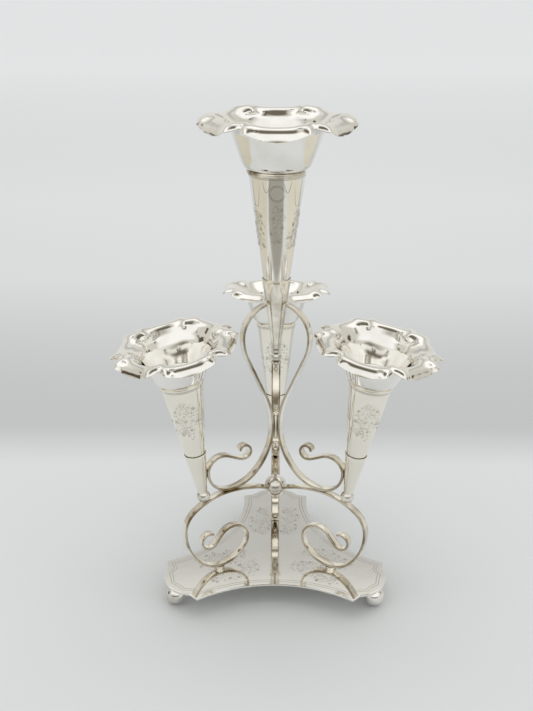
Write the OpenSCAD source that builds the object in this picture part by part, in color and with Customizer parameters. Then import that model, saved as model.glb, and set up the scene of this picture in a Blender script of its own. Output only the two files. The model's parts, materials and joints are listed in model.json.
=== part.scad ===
// Epergne: a lobed plate on ball feet, three scrolled legs and three S-shaped arms of flat strip,
// and four trumpet vases with petalled lips that lift out of tapered sockets.
// Millimetres, +Z up. The origin is on the centre axis, in the plane that the feet stand on.

/* [Base] */
// Diameter of a ball foot
foot_d = 18; // [14:0.5:22]
// Height of the flat ground under a foot
foot_flat = 0.2; // [0.1:0.05:0.5]
// Diameter of the neck between a foot and the plate
foot_neck_d = 9; // [6:0.5:12]
// Height of that neck
foot_neck_h = 1.9; // [1:0.1:4]
// Distance of a foot's middle in from the tip of its lobe
foot_inset = 8; // [6:0.5:16]
// Thickness of the plate
base_t = 1.9; // [1.2:0.1:3]
// Distance of a lobe's shoulders from the axis
shoulder_reach = 99.7; // [94:0.5:103]
// Half of the angle between a lobe's two shoulder corners
shoulder_angle = 18.5; // [16:0.5:21]
// Distance of a lobe's round tip from the axis
tip_reach = 108.3; // [106:0.5:112]
// Radius of the round tip
tip_radius = 28; // [22:0.5:29]
// Distance of a hollow side's middle from the axis
side_reach = 53; // [48:0.5:60]

/* [Strip] */
// Width of the flat strip where it is widest
strip_w = 7.6; // [5:0.1:8.5]
// Thickness of the strip there
strip_t = 2.3; // [1.8:0.1:2.8]
// Amount that each run of a scroll is drawn down from the run before it
strip_thin = 0.06; // [0.05:0.01:0.1]
// Gap that solder fills between pieces that touch
solder_gap = 0.05; // [0.02:0.01:0.1]

/* [Legs] */
// Distance of a leg's lowest point from the axis
leg_foot_reach = 57; // [50:0.5:64]
// Diameter of the boss between a leg and the plate
boss_d = 9; // [7:0.5:12]
// Height of the boss
boss_h = 3; // [2:0.1:5]
// Diameter of the stud under the boss
stud_d = 3; // [2:0.1:4]
// Width of the stud's nut across its corners
nut_d = 7; // [6:0.1:9]
// Thickness of the nut
nut_h = 2.4; // [1.5:0.1:4]
// Radius of a leg's heel
heel_radius = 25.7; // [22:0.1:30]
// Radius of a leg's back
back_radius = 49.2; // [44:0.1:54]
// Radius of a leg's shoulder
leg_shoulder_radius = 23.7; // [20:0.1:28]
// Radius of a leg's arch
arch_radius = 58.4; // [52:0.1:64]
// Radius from the arch down to the hub
root_radius = 96; // [80:1:120]
// Diameter of the hub ball
hub_d = 19.4; // [17:0.1:24]
// Radius from a leg's lowest point inwards
sole_radius = 30.8; // [27:0.1:34]
// Radius of the inner side of a leg's loop
loop_radius = 18.8; // [16:0.1:22]
// Radius of the top of a leg's loop
crown_radius = 14; // [12:0.1:16]
// Straight run from the loop to the curl
curl_run = 11; // [9:0.1:13]
// Radius of a leg's curl
curl_radius = 7.2; // [6.4:0.1:8]

/* [Arms] */
// Radius from an arm's lowest point inwards
arm_foot_radius = 36; // [32:0.1:40]
// Diameter of the pin between the arms at the waist
waist_pin_d = 6.2; // [5:0.1:8]
// Length of the waist pin
waist_pin_l = 26; // [18:0.5:34]
// Radius where an arm bends outwards above the waist
flank_radius = 76; // [66:0.5:86]
// Lean of an arm's straight flank
flank_angle = 24.5; // [20:0.5:27]
// Length of that flank
flank_run = 40.5; // [34:0.5:48]
// Radius of the outer bow
bow_radius = 44; // [38:0.5:50]
// Radius over the top to the centre socket
arm_top_radius = 26.7; // [25:0.1:29]
// Radius of the top of an arm's loop
arm_loop_radius = 13; // [11:0.1:14.5]
// Radius where the loop starts down to the curl
slope_radius = 15; // [13:0.1:18]
// Straight run down to the curl
slope_run = 11; // [9:0.1:13]
// Radius of the dip before the curl
dip_radius = 12; // [10:0.1:14]
// Radius of an arm's curl
arm_curl_radius = 6.2; // [5.6:0.1:6.8]
// Radius of the curl's end
arm_tip_radius = 4; // [3.6:0.1:4.6]

/* [Sockets] */
// Angle along a leg's arch, from its top, where a small socket stands
seat_angle = 22.6; // [20:0.1:25]
// Diameter of the ball under a small socket
socket_ball_d = 11.6; // [10:0.1:13]
// Diameter of the rivets that hold these balls
rivet_d = 2.4; // [1.8:0.1:3]
// Outward lean of the small sockets
socket_lean = 8.7; // [6:0.1:11]
// Half angle of the taper of sockets and vases
taper = 7.8; // [7:0.1:8.5]
// Wall of the sockets
socket_wall = 0.7; // [0.5:0.05:1.2]
// Floor of the sockets
socket_floor = 3; // [2:0.1:5]
// Outer diameter of a small socket's rim
side_rim_d = 18.9; // [18:0.1:21]
// Length of a small socket, from the centre of its ball
side_socket_l = 44; // [40:0.5:48]
// Outer diameter of the centre socket's rim
centre_rim_d = 23.8; // [22.6:0.1:26]
// Length of the centre socket
centre_socket_l = 59; // [54:0.5:62]
// Drop from the centre socket's rim to the arms
arm_drop = 21.4; // [16:0.1:26]

/* [Finial] */
// Diameter of the finial's upper ring
upper_ring_d = 8.8; // [7.5:0.1:10]
// Height of the upper ring
upper_ring_h = 3.6; // [3:0.1:4.4]
// Diameter of the finial's lower ring
lower_ring_d = 7.5; // [6.5:0.1:8.5]
// Height of the lower ring
lower_ring_h = 2.8; // [2.2:0.1:3.4]
// Diameter of the finial's bulb
bulb_d = 9.4; // [8.4:0.1:11]
// Height of the bulb
bulb_h = 7; // [6:0.1:8]
// Diameter of the disc under the bulb
disc_d = 8.8; // [7.5:0.1:10]
// Height of that disc
disc_h = 2.4; // [1.8:0.1:3]
// Diameter of the finial's neck
neck_d = 2.2; // [1.8:0.1:3]
// Length of the neck from the disc to the middle of the bead
neck_l = 5; // [4:0.1:7]
// Diameter of the end bead
bead_d = 4.6; // [4:0.1:5.4]

/* [Vases] */
// Gap between a vase and its socket
vase_clearance = 0.25; // [0.2:0.01:0.4]
// Wall of the vases
vase_wall = 0.9; // [0.7:0.05:1.2]
// Height of a small vase's foot above its socket's floor
side_foot_gap = 4.2; // [2:0.1:8]
// Height of the centre vase's foot above its socket's floor
centre_foot_gap = 3; // [2:0.1:8]
// Length of a small vase's cone above its socket
side_cone_l = 70.5; // [60:0.5:80]
// Length of the centre vase's cone above its socket
centre_cone_l = 89.2; // [79:0.1:99]
// Height of the collar under a bowl
collar_h = 3; // [2:0.1:5]
// Distance that the collar stands proud of the cone
collar_proud = 0.9; // [0.6:0.1:1.6]
// Turn of the two front vases in their sockets
vase_turn = 10; // [0:1:30]

/* [Bowls] */
// Number of petals
petals = 6; // [5:1:8]
// Share of a lip's drop below level that it keeps at the ridges
corner_share = 0.35; // [0.1:0.05:0.7]
// How soon the lip rolls over beside a ridge
lip_fullness = 1.7; // [1.2:0.1:3]
// Distance that the corners of a petal's lip stand out
corner_reach = 2; // [1:0.1:4]
// Height that these corners stand up
corner_rise = 1; // [0:0.1:3]
// Distance that the lip is pinched in between petals
notch = 5; // [2:0.1:6]
// Width of that pinch, as a share of half a petal
pleat_width = 0.16; // [0.1:0.01:0.2]
// Height of the ridges between petals
ridge_height = 2.5; // [1:0.1:4]
// Width of a ridge, as a share of half a petal
ridge_width = 0.4; // [0.3:0.05:0.6]
// Radius of a small bowl's foot
side_bowl_radius = 6; // [5:0.1:8]
// Rise of a small bowl's wall
side_wall_angle = 70; // [65:0.5:75]
// Length of that wall
side_wall_run = 15.4; // [12:0.1:19]
// Radius where it flares
side_bend_radius = 20; // [16:0.5:24]
// Rise of the flare
side_flare_angle = 40; // [35:0.5:45]
// Length of the flare
side_flare_run = 3.9; // [2:0.1:6]
// Radius of a small bowl's rolled lip at a petal's middle
side_lip_radius = 7.5; // [6:0.1:9]
// Angle below level where that lip ends
side_lip_drop = 75; // [60:1:90]
// Radius of the centre bowl's foot
centre_bowl_radius = 8.5; // [7:0.1:10]
// Rise of the centre bowl's wall
centre_wall_angle = 70; // [65:0.5:75]
// Length of that wall
centre_wall_run = 24.8; // [21:0.1:28]
// Radius where it flares
centre_bend_radius = 16; // [13:0.5:19]
// Rise of the flare
centre_flare_angle = 42; // [38:0.5:46]
// Length of the flare
centre_flare_run = 2.2; // [1:0.1:4]
// Radius of the centre bowl's rolled lip at a petal's middle
centre_lip_radius = 9; // [7.5:0.1:10.5]
// Angle below level where that lip ends
centre_lip_drop = 85; // [70:1:95]

/* [Hidden] */
$fn = 96;
silver = [0.87, 0.86, 0.82];
bright = [0.93, 0.92, 0.89];
// Distance that a cut runs past the face it opens
cut = 1;

// Directions of the three branches, seen from above
REAR = 90;
LEFT = 210;
RIGHT = 330;
BRANCHES = [REAR, LEFT, RIGHT];
step_angle = 360 / len(BRANCHES);

// Plate: a disc with three round tips, hollowed by three circles through the shoulder corners
base_bottom = foot_d - foot_flat + foot_neck_h;
base_top = base_bottom + base_t;
foot_reach = tip_reach - foot_inset;
hollow_angle = step_angle / 2 - shoulder_angle;
hollow_reach = (pow(shoulder_reach, 2) - pow(side_reach, 2))
    / (2 * (shoulder_reach * cos(hollow_angle) - side_reach));
hollow_radius = hollow_reach - side_reach;

// Scrolls are walked as runs: [radius, turn], left turns positive, or [0, length] for a straight run.
// A place on a scroll is [distance from the axis, height, heading].
function centre_of(p, run) = let (side = sign(run[1]))
    [p[0] - side * run[0] * sin(p[2]), p[1] + side * run[0] * cos(p[2])];
function after(p, run) = run[0] == 0
    ? [p[0] + run[1] * cos(p[2]), p[1] + run[1] * sin(p[2]), p[2]]
    : let (c = centre_of(p, run), side = sign(run[1]), h = p[2] + run[1])
        [c[0] + side * run[0] * sin(h), c[1] - side * run[0] * cos(h), h];
function walk(p, runs, count, i = 0) = i == count ? p : walk(after(p, runs[i]), runs, count, i + 1);
function end_of(p, runs) = walk(p, runs, len(runs));
function strip_t_at(i) = strip_t - i * strip_thin;
// Length that a drawn-down run starts inside the run before it
run_lap = 0.3;

// Leg: outwards from its lowest point over to the hub, and inwards to the curl
leg_low = [leg_foot_reach, base_top + boss_h + solder_gap + strip_t / 2];
arch_run = 3;
arch_t = strip_t_at(arch_run);
leg_out_start = [leg_low[0], leg_low[1], 0];
leg_in_start = [leg_low[0], leg_low[1], 180];
leg_rise = [[heel_radius, 45], [back_radius, 45], [leg_shoulder_radius, 55], [arch_radius, 35]];
leg_top = end_of(leg_out_start, leg_rise);
// A leg's root ends inside the hub ball's outline, and is hollowed to fit it
hub_bite = 0.35 * hub_d;
leg_root = [[root_radius, asin((leg_top[0] - hub_bite) / root_radius)]];
leg_curl = [[sole_radius, -45], [loop_radius, -45], [crown_radius, -140], [0, curl_run],
    [curl_radius, 265]];
hub_z = end_of(leg_top, leg_root)[1];

// Small socket: its ball stands square on the leg's arch
arch_centre = [leg_top[0], leg_top[1] - arch_radius];
arch_to_seat = arch_radius + arch_t / 2 + solder_gap;
arch_to_ball = arch_to_seat + socket_ball_d / 2;
ball_reach = arch_centre[0] + arch_to_ball * sin(seat_angle);
ball_z = arch_centre[1] + arch_to_ball * cos(seat_angle);
// Tenon and rivet both enter the ball, and keep clear of each other at its middle
tenon_end = 1.5;
tenon_l = socket_ball_d / 2 - tenon_end;
rivet_head_d = 1.8 * rivet_d;
rivet_head_h = 0.4 * rivet_d;
rivet_low = arch_radius - strip_t / 2 - solder_gap - rivet_head_h;
// Thread of a boss's stud that shows under its nut
stud_end = 0.6;

// Inner side of a small socket, as a line in the plane of its arm
side_foot_d = side_rim_d - 2 * side_socket_l * tan(taper);
side_line_low = [ball_reach - side_foot_d / 2 * cos(socket_lean),
    ball_z + side_foot_d / 2 * sin(socket_lean)];
side_line_slope = tan(socket_lean - taper);
side_line_stretch = sqrt(1 + pow(side_line_slope, 2));

// Arm: from its lowest point, on the leg's top, in to the waist and up to the centre socket,
// and out to touch the small socket before it curls back
arm_low = [leg_top[0], leg_top[1] + (arch_t + strip_t) / 2 + solder_gap];
arm_out_start = [arm_low[0], arm_low[1], 0];
arm_in_start = [arm_low[0], arm_low[1], 180];
side_line_here = side_line_low[0] + (arm_low[1] - side_line_low[1]) * side_line_slope;
arm_touch_radius = ((side_line_here - arm_low[0]) / side_line_stretch - strip_t / 2 - solder_gap)
    / (1 - side_line_slope / side_line_stretch);
arm_curl = [[arm_touch_radius, 90], [arm_loop_radius, 90], [slope_radius, 26], [0, slope_run],
    [dip_radius, -26], [arm_curl_radius, -180], [arm_tip_radius, -100]];
waist_reach = waist_pin_d / 2 + solder_gap + strip_t / 2;
arm_rise_radius = (arm_low[0] - arm_foot_radius * sin(45) - waist_reach) / (1 - cos(45));
arm_to_waist = [[arm_foot_radius, -45], [arm_rise_radius, -45]];
waist = end_of(arm_in_start, arm_to_waist);
arm_top_turn = 80;
arm_bite = 8;
arm_to_socket = [[flank_radius, -flank_angle], [0, flank_run], [bow_radius, flank_angle],
    [arm_top_radius, arm_top_turn]];
arm_end = end_of(waist, arm_to_socket);

// Centre socket, carried by the arms
centre_rim_z = arm_end[1] + arm_drop;
centre_foot_z = centre_rim_z - centre_socket_l;

// Heights of the socket floors, and depths of the vases in the sockets
side_floor_z = socket_ball_d / 2 + socket_floor;
centre_floor_z = 2 * socket_floor;
side_depth = side_socket_l - side_floor_z - side_foot_gap;
centre_depth = centre_socket_l - centre_floor_z - centre_foot_gap;
// Vase sizes: [outer radius at the socket's rim, depth, length above the rim]
side_vase = [side_rim_d / 2 - socket_wall - vase_clearance, side_depth, side_cone_l];
centre_vase = [centre_rim_d / 2 - socket_wall - vase_clearance, centre_depth, centre_cone_l];
function vase_top_r(vase) = vase[0] + vase[2] * tan(taper);

// Finial: its turnings from the top, as [diameter, height], on a neck that shows between them
turning_gap = 0.5;
TURNINGS = [[upper_ring_d, upper_ring_h], [lower_ring_d, lower_ring_h], [bulb_d, bulb_h], [disc_d, disc_h]];
function turning_top(i) = i == 0 ? 0 : turning_top(i - 1) - TURNINGS[i - 1][1] - turning_gap;
bead_z = turning_top(len(TURNINGS) - 1) - disc_h - neck_l;

// Bowl profiles, from the collar outwards: foot, wall, flare and rolled lip
foot_turn = 22;
side_profile = [side_bowl_radius, side_wall_angle, side_wall_run, side_bend_radius, side_flare_angle,
    side_flare_run, side_lip_radius, side_lip_drop];
centre_profile = [centre_bowl_radius, centre_wall_angle, centre_wall_run, centre_bend_radius,
    centre_flare_angle, centre_flare_run, centre_lip_radius, centre_lip_drop];
// Share of half a petal that an angle lies away from the nearest ridge
function away(angle) = let (half = 180 / petals) 1 - abs(angle % (2 * half) - half) / half;
// The lip has one length all round, and turns furthest at a petal's middle
function lip_turn(b, angle) = b[4] + b[7] * (1 - (1 - corner_share) * pow(1 - away(angle), lip_fullness));
function bowl_runs(b, angle) = [[b[0], b[1] - foot_turn], [0, b[2]], [b[3], b[4] - b[1]], [0, b[5]],
    [b[6] * (b[4] + b[7]) / lip_turn(b, angle), -lip_turn(b, angle)]];

// Places along a profile, with each run cut into steps
RUN_STEPS = [2, 1, 2, 1, 4];
FOOT_LEVEL = RUN_STEPS[0];
BEND_LEVEL = FOOT_LEVEL + RUN_STEPS[1] + RUN_STEPS[2];
FLARE_LEVEL = BEND_LEVEL + RUN_STEPS[3];
LAST_LEVEL = FLARE_LEVEL + RUN_STEPS[4];
PETAL_STEPS = 12;
function places(start, runs) = concat([start], [for (i = [0 : len(runs) - 1])
    for (j = [1 : RUN_STEPS[i]]) after(walk(start, runs, i), [runs[i][0], runs[i][1] * j / RUN_STEPS[i]])]);
// Ridges grow from the foot to the flare, and pleats and corners from the flare to the edge
function hump(x, middle, width) = exp(-pow((x - middle) / width, 2));
function grown(level, first, last, power) = pow(max(0, min(1, (level - first) / (last - first))), power);
function shaped(p, level, x) = let (lip = grown(level, BEND_LEVEL, LAST_LEVEL, 1.5),
    raised = ridge_height * grown(level, FOOT_LEVEL, FLARE_LEVEL, 2) * (1 - lip) * hump(x, 0, ridge_width),
    corner = lip * hump(x, 2 * pleat_width, pleat_width))
    [p[0] - raised * sin(p[2]) - notch * lip * hump(x, 0, pleat_width) + corner_reach * corner,
        p[1] + raised * cos(p[2]) + corner_rise * corner, p[2]];

// A branch's upright plane: X is the distance from the axis and Y the height
module in_plane(branch) {
    rotate([0, 0, branch]) rotate([90, 0, 0]) children();
}

// A small socket's own frame: Z along its axis, from the centre of its ball
module at_socket(branch) {
    rotate([0, 0, branch]) translate([ball_reach, 0, ball_z]) rotate([0, socket_lean, 0]) children();
}

// The line through the arch's centre and a socket ball: X points outwards from the arch's centre
module at_seat(branch) {
    in_plane(branch) translate(arch_centre) rotate([0, 0, 90 - seat_angle]) children();
}

// Section of the strip on a scroll's run number i: flat faces and round edges
module strip_section(i) {
    t = strip_t_at(i);
    flat = strip_w - strip_t;
    square([t, flat], center = true);
    for (side = [-1, 1]) translate([0, side * flat / 2]) circle(d = t);
}

module strip_run(p, run, i) {
    if (run[0] == 0) {
        translate([p[0], p[1], 0]) rotate([0, 0, p[2]]) rotate([90, 0, 90])
            translate([0, 0, -run_lap]) linear_extrude(run[1] + run_lap) strip_section(i);
    } else {
        lap = run_lap / run[0] * 180 / PI;
        first = run[1] > 0 ? p[2] - 90 - lap : p[2] + 90 + run[1];
        translate(centre_of(p, run)) rotate([0, 0, first])
            rotate_extrude(angle = abs(run[1]) + lap) translate([run[0], 0]) strip_section(i);
    }
}

// A scroll drawn run after run, counting its runs from the one given
module strip(start, runs, first_run) {
    for (i = [0 : len(runs) - 1]) strip_run(walk(start, runs, i), runs[i], first_run + i);
}

module plate_outline() {
    difference() {
        union() {
            circle(r = shoulder_reach);
            for (b = BRANCHES) rotate(b) translate([tip_reach - tip_radius, 0]) circle(r = tip_radius);
        }
        for (b = BRANCHES) rotate(b + step_angle / 2) translate([hollow_reach, 0]) circle(r = hollow_radius);
    }
}

module base_plate() color(silver) difference() {
    translate([0, 0, base_bottom]) linear_extrude(base_t) plate_outline();
    for (b = BRANCHES) rotate([0, 0, b]) translate([leg_foot_reach, 0, base_bottom - cut])
        cylinder(d = stud_d + 2 * solder_gap, h = base_t + 2 * cut);
}

module foot(branch) color(bright) rotate([0, 0, branch]) translate([foot_reach, 0, 0]) difference() {
    union() {
        translate([0, 0, foot_d / 2 - foot_flat]) sphere(d = foot_d);
        translate([0, 0, foot_d / 2]) cylinder(d = foot_neck_d, h = base_bottom - foot_d / 2);
    }
    translate([0, 0, -foot_d]) cylinder(d = 2 * foot_d, h = foot_d);
}

// The leg's round underside, where the boss is hollowed to seat it
module leg_boss(branch) color(bright) difference() {
    rotate([0, 0, branch]) translate([leg_foot_reach, 0, 0]) {
        translate([0, 0, base_top]) cylinder(d = boss_d, h = boss_h + strip_t / 2);
        translate([0, 0, base_bottom - nut_h - stud_end])
            cylinder(d = stud_d, h = stud_end + nut_h + base_t + boss_h / 2);
    }
    in_plane(branch) translate([leg_low[0], leg_low[1] + sole_radius, -boss_d])
        cylinder(r = sole_radius + strip_t / 2 + solder_gap, h = 2 * boss_d);
}

module leg_nuts() color(bright) for (b = BRANCHES) rotate([0, 0, b])
    translate([leg_foot_reach, 0, base_bottom - nut_h]) difference() {
        cylinder(d = nut_d, h = nut_h, $fn = 6);
        translate([0, 0, -cut]) cylinder(d = stud_d + 2 * solder_gap, h = nut_h + 2 * cut);
    }

module leg(branch) color(silver) difference() {
    in_plane(branch) {
        strip(leg_out_start, concat(leg_rise, leg_root), 0);
        strip(leg_in_start, leg_curl, 1);
    }
    translate([0, 0, hub_z]) sphere(d = hub_d + 2 * solder_gap);
    at_seat(branch) translate([arch_radius - strip_t, 0, 0]) rotate([0, 90, 0])
        cylinder(d = rivet_d + 2 * solder_gap, h = 2 * strip_t);
}

module hub_ball() color(bright) translate([0, 0, hub_z]) sphere(d = hub_d);

module arm(branch) color(silver) difference() {
    in_plane(branch) {
        strip(arm_out_start, arm_curl, 0);
        strip(arm_in_start, concat(arm_to_waist, arm_to_socket, [[0, arm_bite]]), 1);
    }
    translate([0, 0, centre_foot_z]) cylinder(h = centre_socket_l,
        r1 = centre_rim_d / 2 - centre_socket_l * tan(taper) + solder_gap,
        r2 = centre_rim_d / 2 + solder_gap);
}

module waist_pin() color(silver) translate([0, 0, waist[1]]) {
    cylinder(d = waist_pin_d, h = waist_pin_l - waist_pin_d, center = true);
    for (side = [-1, 1])
        translate([0, 0, side * (waist_pin_l - waist_pin_d) / 2]) sphere(d = waist_pin_d);
}

module socket_ball(branch) color(bright) difference() {
    at_socket(branch) sphere(d = socket_ball_d);
    at_socket(branch) translate([0, 0, socket_ball_d / 2 - tenon_l])
        cylinder(d = rivet_d + 2 * solder_gap, h = socket_ball_d);
    at_seat(branch) translate([arch_radius, 0, 0]) rotate([0, 90, 0])
        cylinder(d = rivet_d + 2 * solder_gap, h = arch_to_seat - arch_radius + tenon_l);
}

module socket_rivets() color(bright) for (b = BRANCHES) at_seat(b) rotate([0, 90, 0]) {
    translate([0, 0, rivet_low]) cylinder(d = rivet_head_d, h = rivet_head_h);
    translate([0, 0, rivet_low]) cylinder(d = rivet_d, h = arch_to_seat + tenon_l - solder_gap - rivet_low);
}

// A tapered cup: rim diameter, length to the rim, and height of its floor
module socket_cup(rim_d, length, floor_z) {
    grow = tan(taper);
    difference() {
        cylinder(r1 = rim_d / 2 - length * grow, r2 = rim_d / 2, h = length);
        translate([0, 0, floor_z]) cylinder(h = length,
            r1 = rim_d / 2 - socket_wall - (length - floor_z) * grow,
            r2 = rim_d / 2 - socket_wall + floor_z * grow);
    }
}

module side_socket(branch) color(silver) at_socket(branch) {
    difference() {
        socket_cup(side_rim_d, side_socket_l, side_floor_z);
        sphere(d = socket_ball_d + 2 * solder_gap);
    }
    translate([0, 0, socket_ball_d / 2 - tenon_l + solder_gap])
        cylinder(d = rivet_d, h = tenon_l + socket_floor / 2);
}

module centre_socket() color(silver) translate([0, 0, centre_foot_z]) difference() {
    socket_cup(centre_rim_d, centre_socket_l, centre_floor_z);
    translate([0, 0, -cut]) cylinder(d = rivet_d + 2 * solder_gap, h = cut + socket_floor);
}

// A turning's half section: flat ends and a round edge, hanging from its top
module turning(d, h) {
    translate([0, -h]) square([(d - h) / 2, h]);
    intersection() {
        translate([(d - h) / 2, -h / 2]) circle(d = h);
        translate([0, -h]) square([d, h]);
    }
}

// Turned drop: two rings, a bulb on a disc and a bead, with a tenon into the centre socket
module finial() color(bright) translate([0, 0, centre_foot_z - solder_gap]) {
    rotate_extrude() {
        translate([0, bead_z]) square([neck_d / 2, -bead_z]);
        for (i = [0 : len(TURNINGS) - 1])
            translate([0, turning_top(i)]) turning(TURNINGS[i][0], TURNINGS[i][1]);
        translate([0, bead_z]) intersection() {
            circle(d = bead_d);
            translate([0, -bead_d]) square(2 * bead_d);
        }
    }
    cylinder(d = rivet_d, h = socket_floor - solder_gap);
}

// A vase's cone: closed at the bottom, Z from its socket's rim
module vase_cone(vase) {
    grow = tan(taper);
    difference() {
        translate([0, 0, -vase[1]])
            cylinder(r1 = vase[0] - vase[1] * grow, r2 = vase_top_r(vase), h = vase[1] + vase[2]);
        translate([0, 0, vase_wall - vase[1]])
            cylinder(h = vase[1] + vase[2],
                r1 = vase[0] - vase_wall - (vase[1] - vase_wall) * grow,
                r2 = vase_top_r(vase) - vase_wall + vase_wall * grow);
    }
}

// The band round the top of a cone
module collar(vase) {
    grow = tan(taper);
    translate([0, 0, vase[2] - collar_h]) difference() {
        rotate_extrude() {
            square([vase_top_r(vase), collar_h]);
            translate([0, collar_proud])
                square([vase_top_r(vase) + collar_proud, collar_h - 2 * collar_proud]);
            for (y = [collar_proud, collar_h - collar_proud])
                translate([vase_top_r(vase), y]) circle(r = collar_proud);
        }
        translate([0, 0, -cut]) cylinder(h = collar_h + 2 * cut,
            r1 = vase_top_r(vase) + solder_gap - (collar_h + cut) * grow,
            r2 = vase_top_r(vase) + solder_gap + cut * grow);
    }
}

// A petalled bowl: an outer and an inner skin of rings, from the cone's mouth to the lip's edge
module bowl(vase, b, turn) {
    start = [vase_top_r(vase), 0, foot_turn];
    count = petals * PETAL_STEPS;
    last = LAST_LEVEL;
    mouth_r = vase_top_r(vase) - vase_wall;
    lines = [for (k = [0 : count - 1]) places(start, bowl_runs(b, k * 360 / count))];
    skins = [for (level = [0 : last]) for (inner = [0, 1]) for (k = [0 : count - 1])
        let (angle = k * 360 / count,
            p = shaped(lines[k][level], level, away(angle)),
            r = inner == 0 ? p[0] : level == 0 ? mouth_r : p[0] - vase_wall * sin(p[2]),
            z = inner == 0 || level == 0 ? p[1] : p[1] + vase_wall * cos(p[2]))
        [r * cos(angle + turn), r * sin(angle + turn), z]];
    function at(level, inner, k) = (2 * level + inner) * count + k % count;
    function quad(p, q, r, s) = [[p, q, r], [p, r, s]];
    faces = [for (k = [0 : count - 1]) each concat(
        [for (level = [0 : last - 1]) each concat(
            quad(at(level, 0, k), at(level + 1, 0, k), at(level + 1, 0, k + 1), at(level, 0, k + 1)),
            quad(at(level, 1, k), at(level, 1, k + 1), at(level + 1, 1, k + 1), at(level + 1, 1, k)))],
        quad(at(0, 1, k), at(0, 0, k), at(0, 0, k + 1), at(0, 1, k + 1)),
        quad(at(last, 0, k), at(last, 1, k), at(last, 1, k + 1), at(last, 0, k + 1)))];
    translate([0, 0, vase[2] + solder_gap]) polyhedron(skins, faces, convexity = 6);
}

module side_vase_place(branch) {
    at_socket(branch) translate([0, 0, side_socket_l]) children();
}

module centre_vase_place() {
    translate([0, 0, centre_rim_z]) children();
}

module side_cone(branch) color(silver) side_vase_place(branch) vase_cone(side_vase);
module side_collar(branch) color(bright) side_vase_place(branch) collar(side_vase);
module side_bowl(branch, turn) color(bright) side_vase_place(branch) bowl(side_vase, side_profile, turn);
module vase_cone_centre() color(silver) centre_vase_place() vase_cone(centre_vase);
module collar_centre() color(bright) centre_vase_place() collar(centre_vase);
module bowl_centre() color(bright) centre_vase_place() bowl(centre_vase, centre_profile, 0);

base_plate();
foot(REAR);  // foot_rear
foot(LEFT);  // foot_left
foot(RIGHT);  // foot_right
leg_boss(REAR);  // leg_boss_rear
leg_boss(LEFT);  // leg_boss_left
leg_boss(RIGHT);  // leg_boss_right
leg_nuts();
leg(REAR);  // leg_rear
leg(LEFT);  // leg_left
leg(RIGHT);  // leg_right
hub_ball();
arm(REAR);  // arm_rear
arm(LEFT);  // arm_left
arm(RIGHT);  // arm_right
waist_pin();
socket_ball(REAR);  // socket_ball_rear
socket_ball(LEFT);  // socket_ball_left
socket_ball(RIGHT);  // socket_ball_right
socket_rivets();
side_socket(REAR);  // side_socket_rear
side_socket(LEFT);  // side_socket_left
side_socket(RIGHT);  // side_socket_right
centre_socket();
finial();
side_cone(REAR);  // vase_cone_rear
side_cone(LEFT);  // vase_cone_left
side_cone(RIGHT);  // vase_cone_right
vase_cone_centre();
side_collar(REAR);  // collar_rear
side_collar(LEFT);  // collar_left
side_collar(RIGHT);  // collar_right
collar_centre();
side_bowl(REAR, 0);  // bowl_rear
side_bowl(LEFT, -vase_turn);  // bowl_left
side_bowl(RIGHT, vase_turn);  // bowl_right
bowl_centre();
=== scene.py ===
"""Looks of a silver epergne: lobed plate on ball feet, scrolled strip, trumpet vases with petalled lips."""

import json
import math

import bmesh
import bpy
import numpy as np
from bpy.props import FloatProperty, FloatVectorProperty, IntProperty, PointerProperty
from mathutils import Matrix, Vector


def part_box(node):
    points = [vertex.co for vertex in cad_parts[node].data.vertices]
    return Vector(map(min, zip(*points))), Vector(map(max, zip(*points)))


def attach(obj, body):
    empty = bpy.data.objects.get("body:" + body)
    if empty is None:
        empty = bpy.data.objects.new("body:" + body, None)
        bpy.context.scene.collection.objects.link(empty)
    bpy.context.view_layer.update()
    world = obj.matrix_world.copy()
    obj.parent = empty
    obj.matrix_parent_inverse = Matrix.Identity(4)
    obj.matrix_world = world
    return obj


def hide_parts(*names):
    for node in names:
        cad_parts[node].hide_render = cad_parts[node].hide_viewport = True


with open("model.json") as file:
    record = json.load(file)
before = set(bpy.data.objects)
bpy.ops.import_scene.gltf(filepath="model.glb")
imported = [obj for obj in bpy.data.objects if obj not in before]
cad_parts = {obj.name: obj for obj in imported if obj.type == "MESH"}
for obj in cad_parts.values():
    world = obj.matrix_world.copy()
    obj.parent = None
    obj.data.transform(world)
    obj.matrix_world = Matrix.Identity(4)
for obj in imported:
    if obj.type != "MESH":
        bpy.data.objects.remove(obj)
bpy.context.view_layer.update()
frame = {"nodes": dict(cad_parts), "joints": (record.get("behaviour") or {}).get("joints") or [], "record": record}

bl_info = {
    "name": "Silver Epergne",
    "version": (1, 0, 0),
    "blender": (4, 5, 0),
    "location": "View3D > Sidebar > Epergne",
    "description": "Builds a silver epergne around its measured frame",
    "category": "Add Mesh",
}

MM = 0.001
BRANCHES = {"rear": 90.0, "left": 210.0, "right": 330.0}
FRAME_BODY = "frame"
RECORD = frame["record"]
MOUNTS = {m["name"]: np.array(m["pos_m"]) for m in RECORD["mounts"]}
LIFTS = {j["child"]: np.array(j["axis"]) for j in frame["joints"]}

# Heights that the frame gives
PLATE_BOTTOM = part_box("base_plate")[0].z
PLATE_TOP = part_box("base_plate")[1].z
HUB_LOW, HUB_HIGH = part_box("hub_ball")
HUB_RADIUS = (HUB_HIGH.z - HUB_LOW.z) / 2
HUB_Z = (HUB_HIGH.z + HUB_LOW.z) / 2
CENTRE_FOOT_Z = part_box("centre_socket")[0].z
CENTRE_RIM_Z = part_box("centre_socket")[1].z
FOOT_REACH = float(np.hypot(*MOUNTS["foot_rear"][:2]))
SOLDER_GAP = 0.05 * MM

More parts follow.
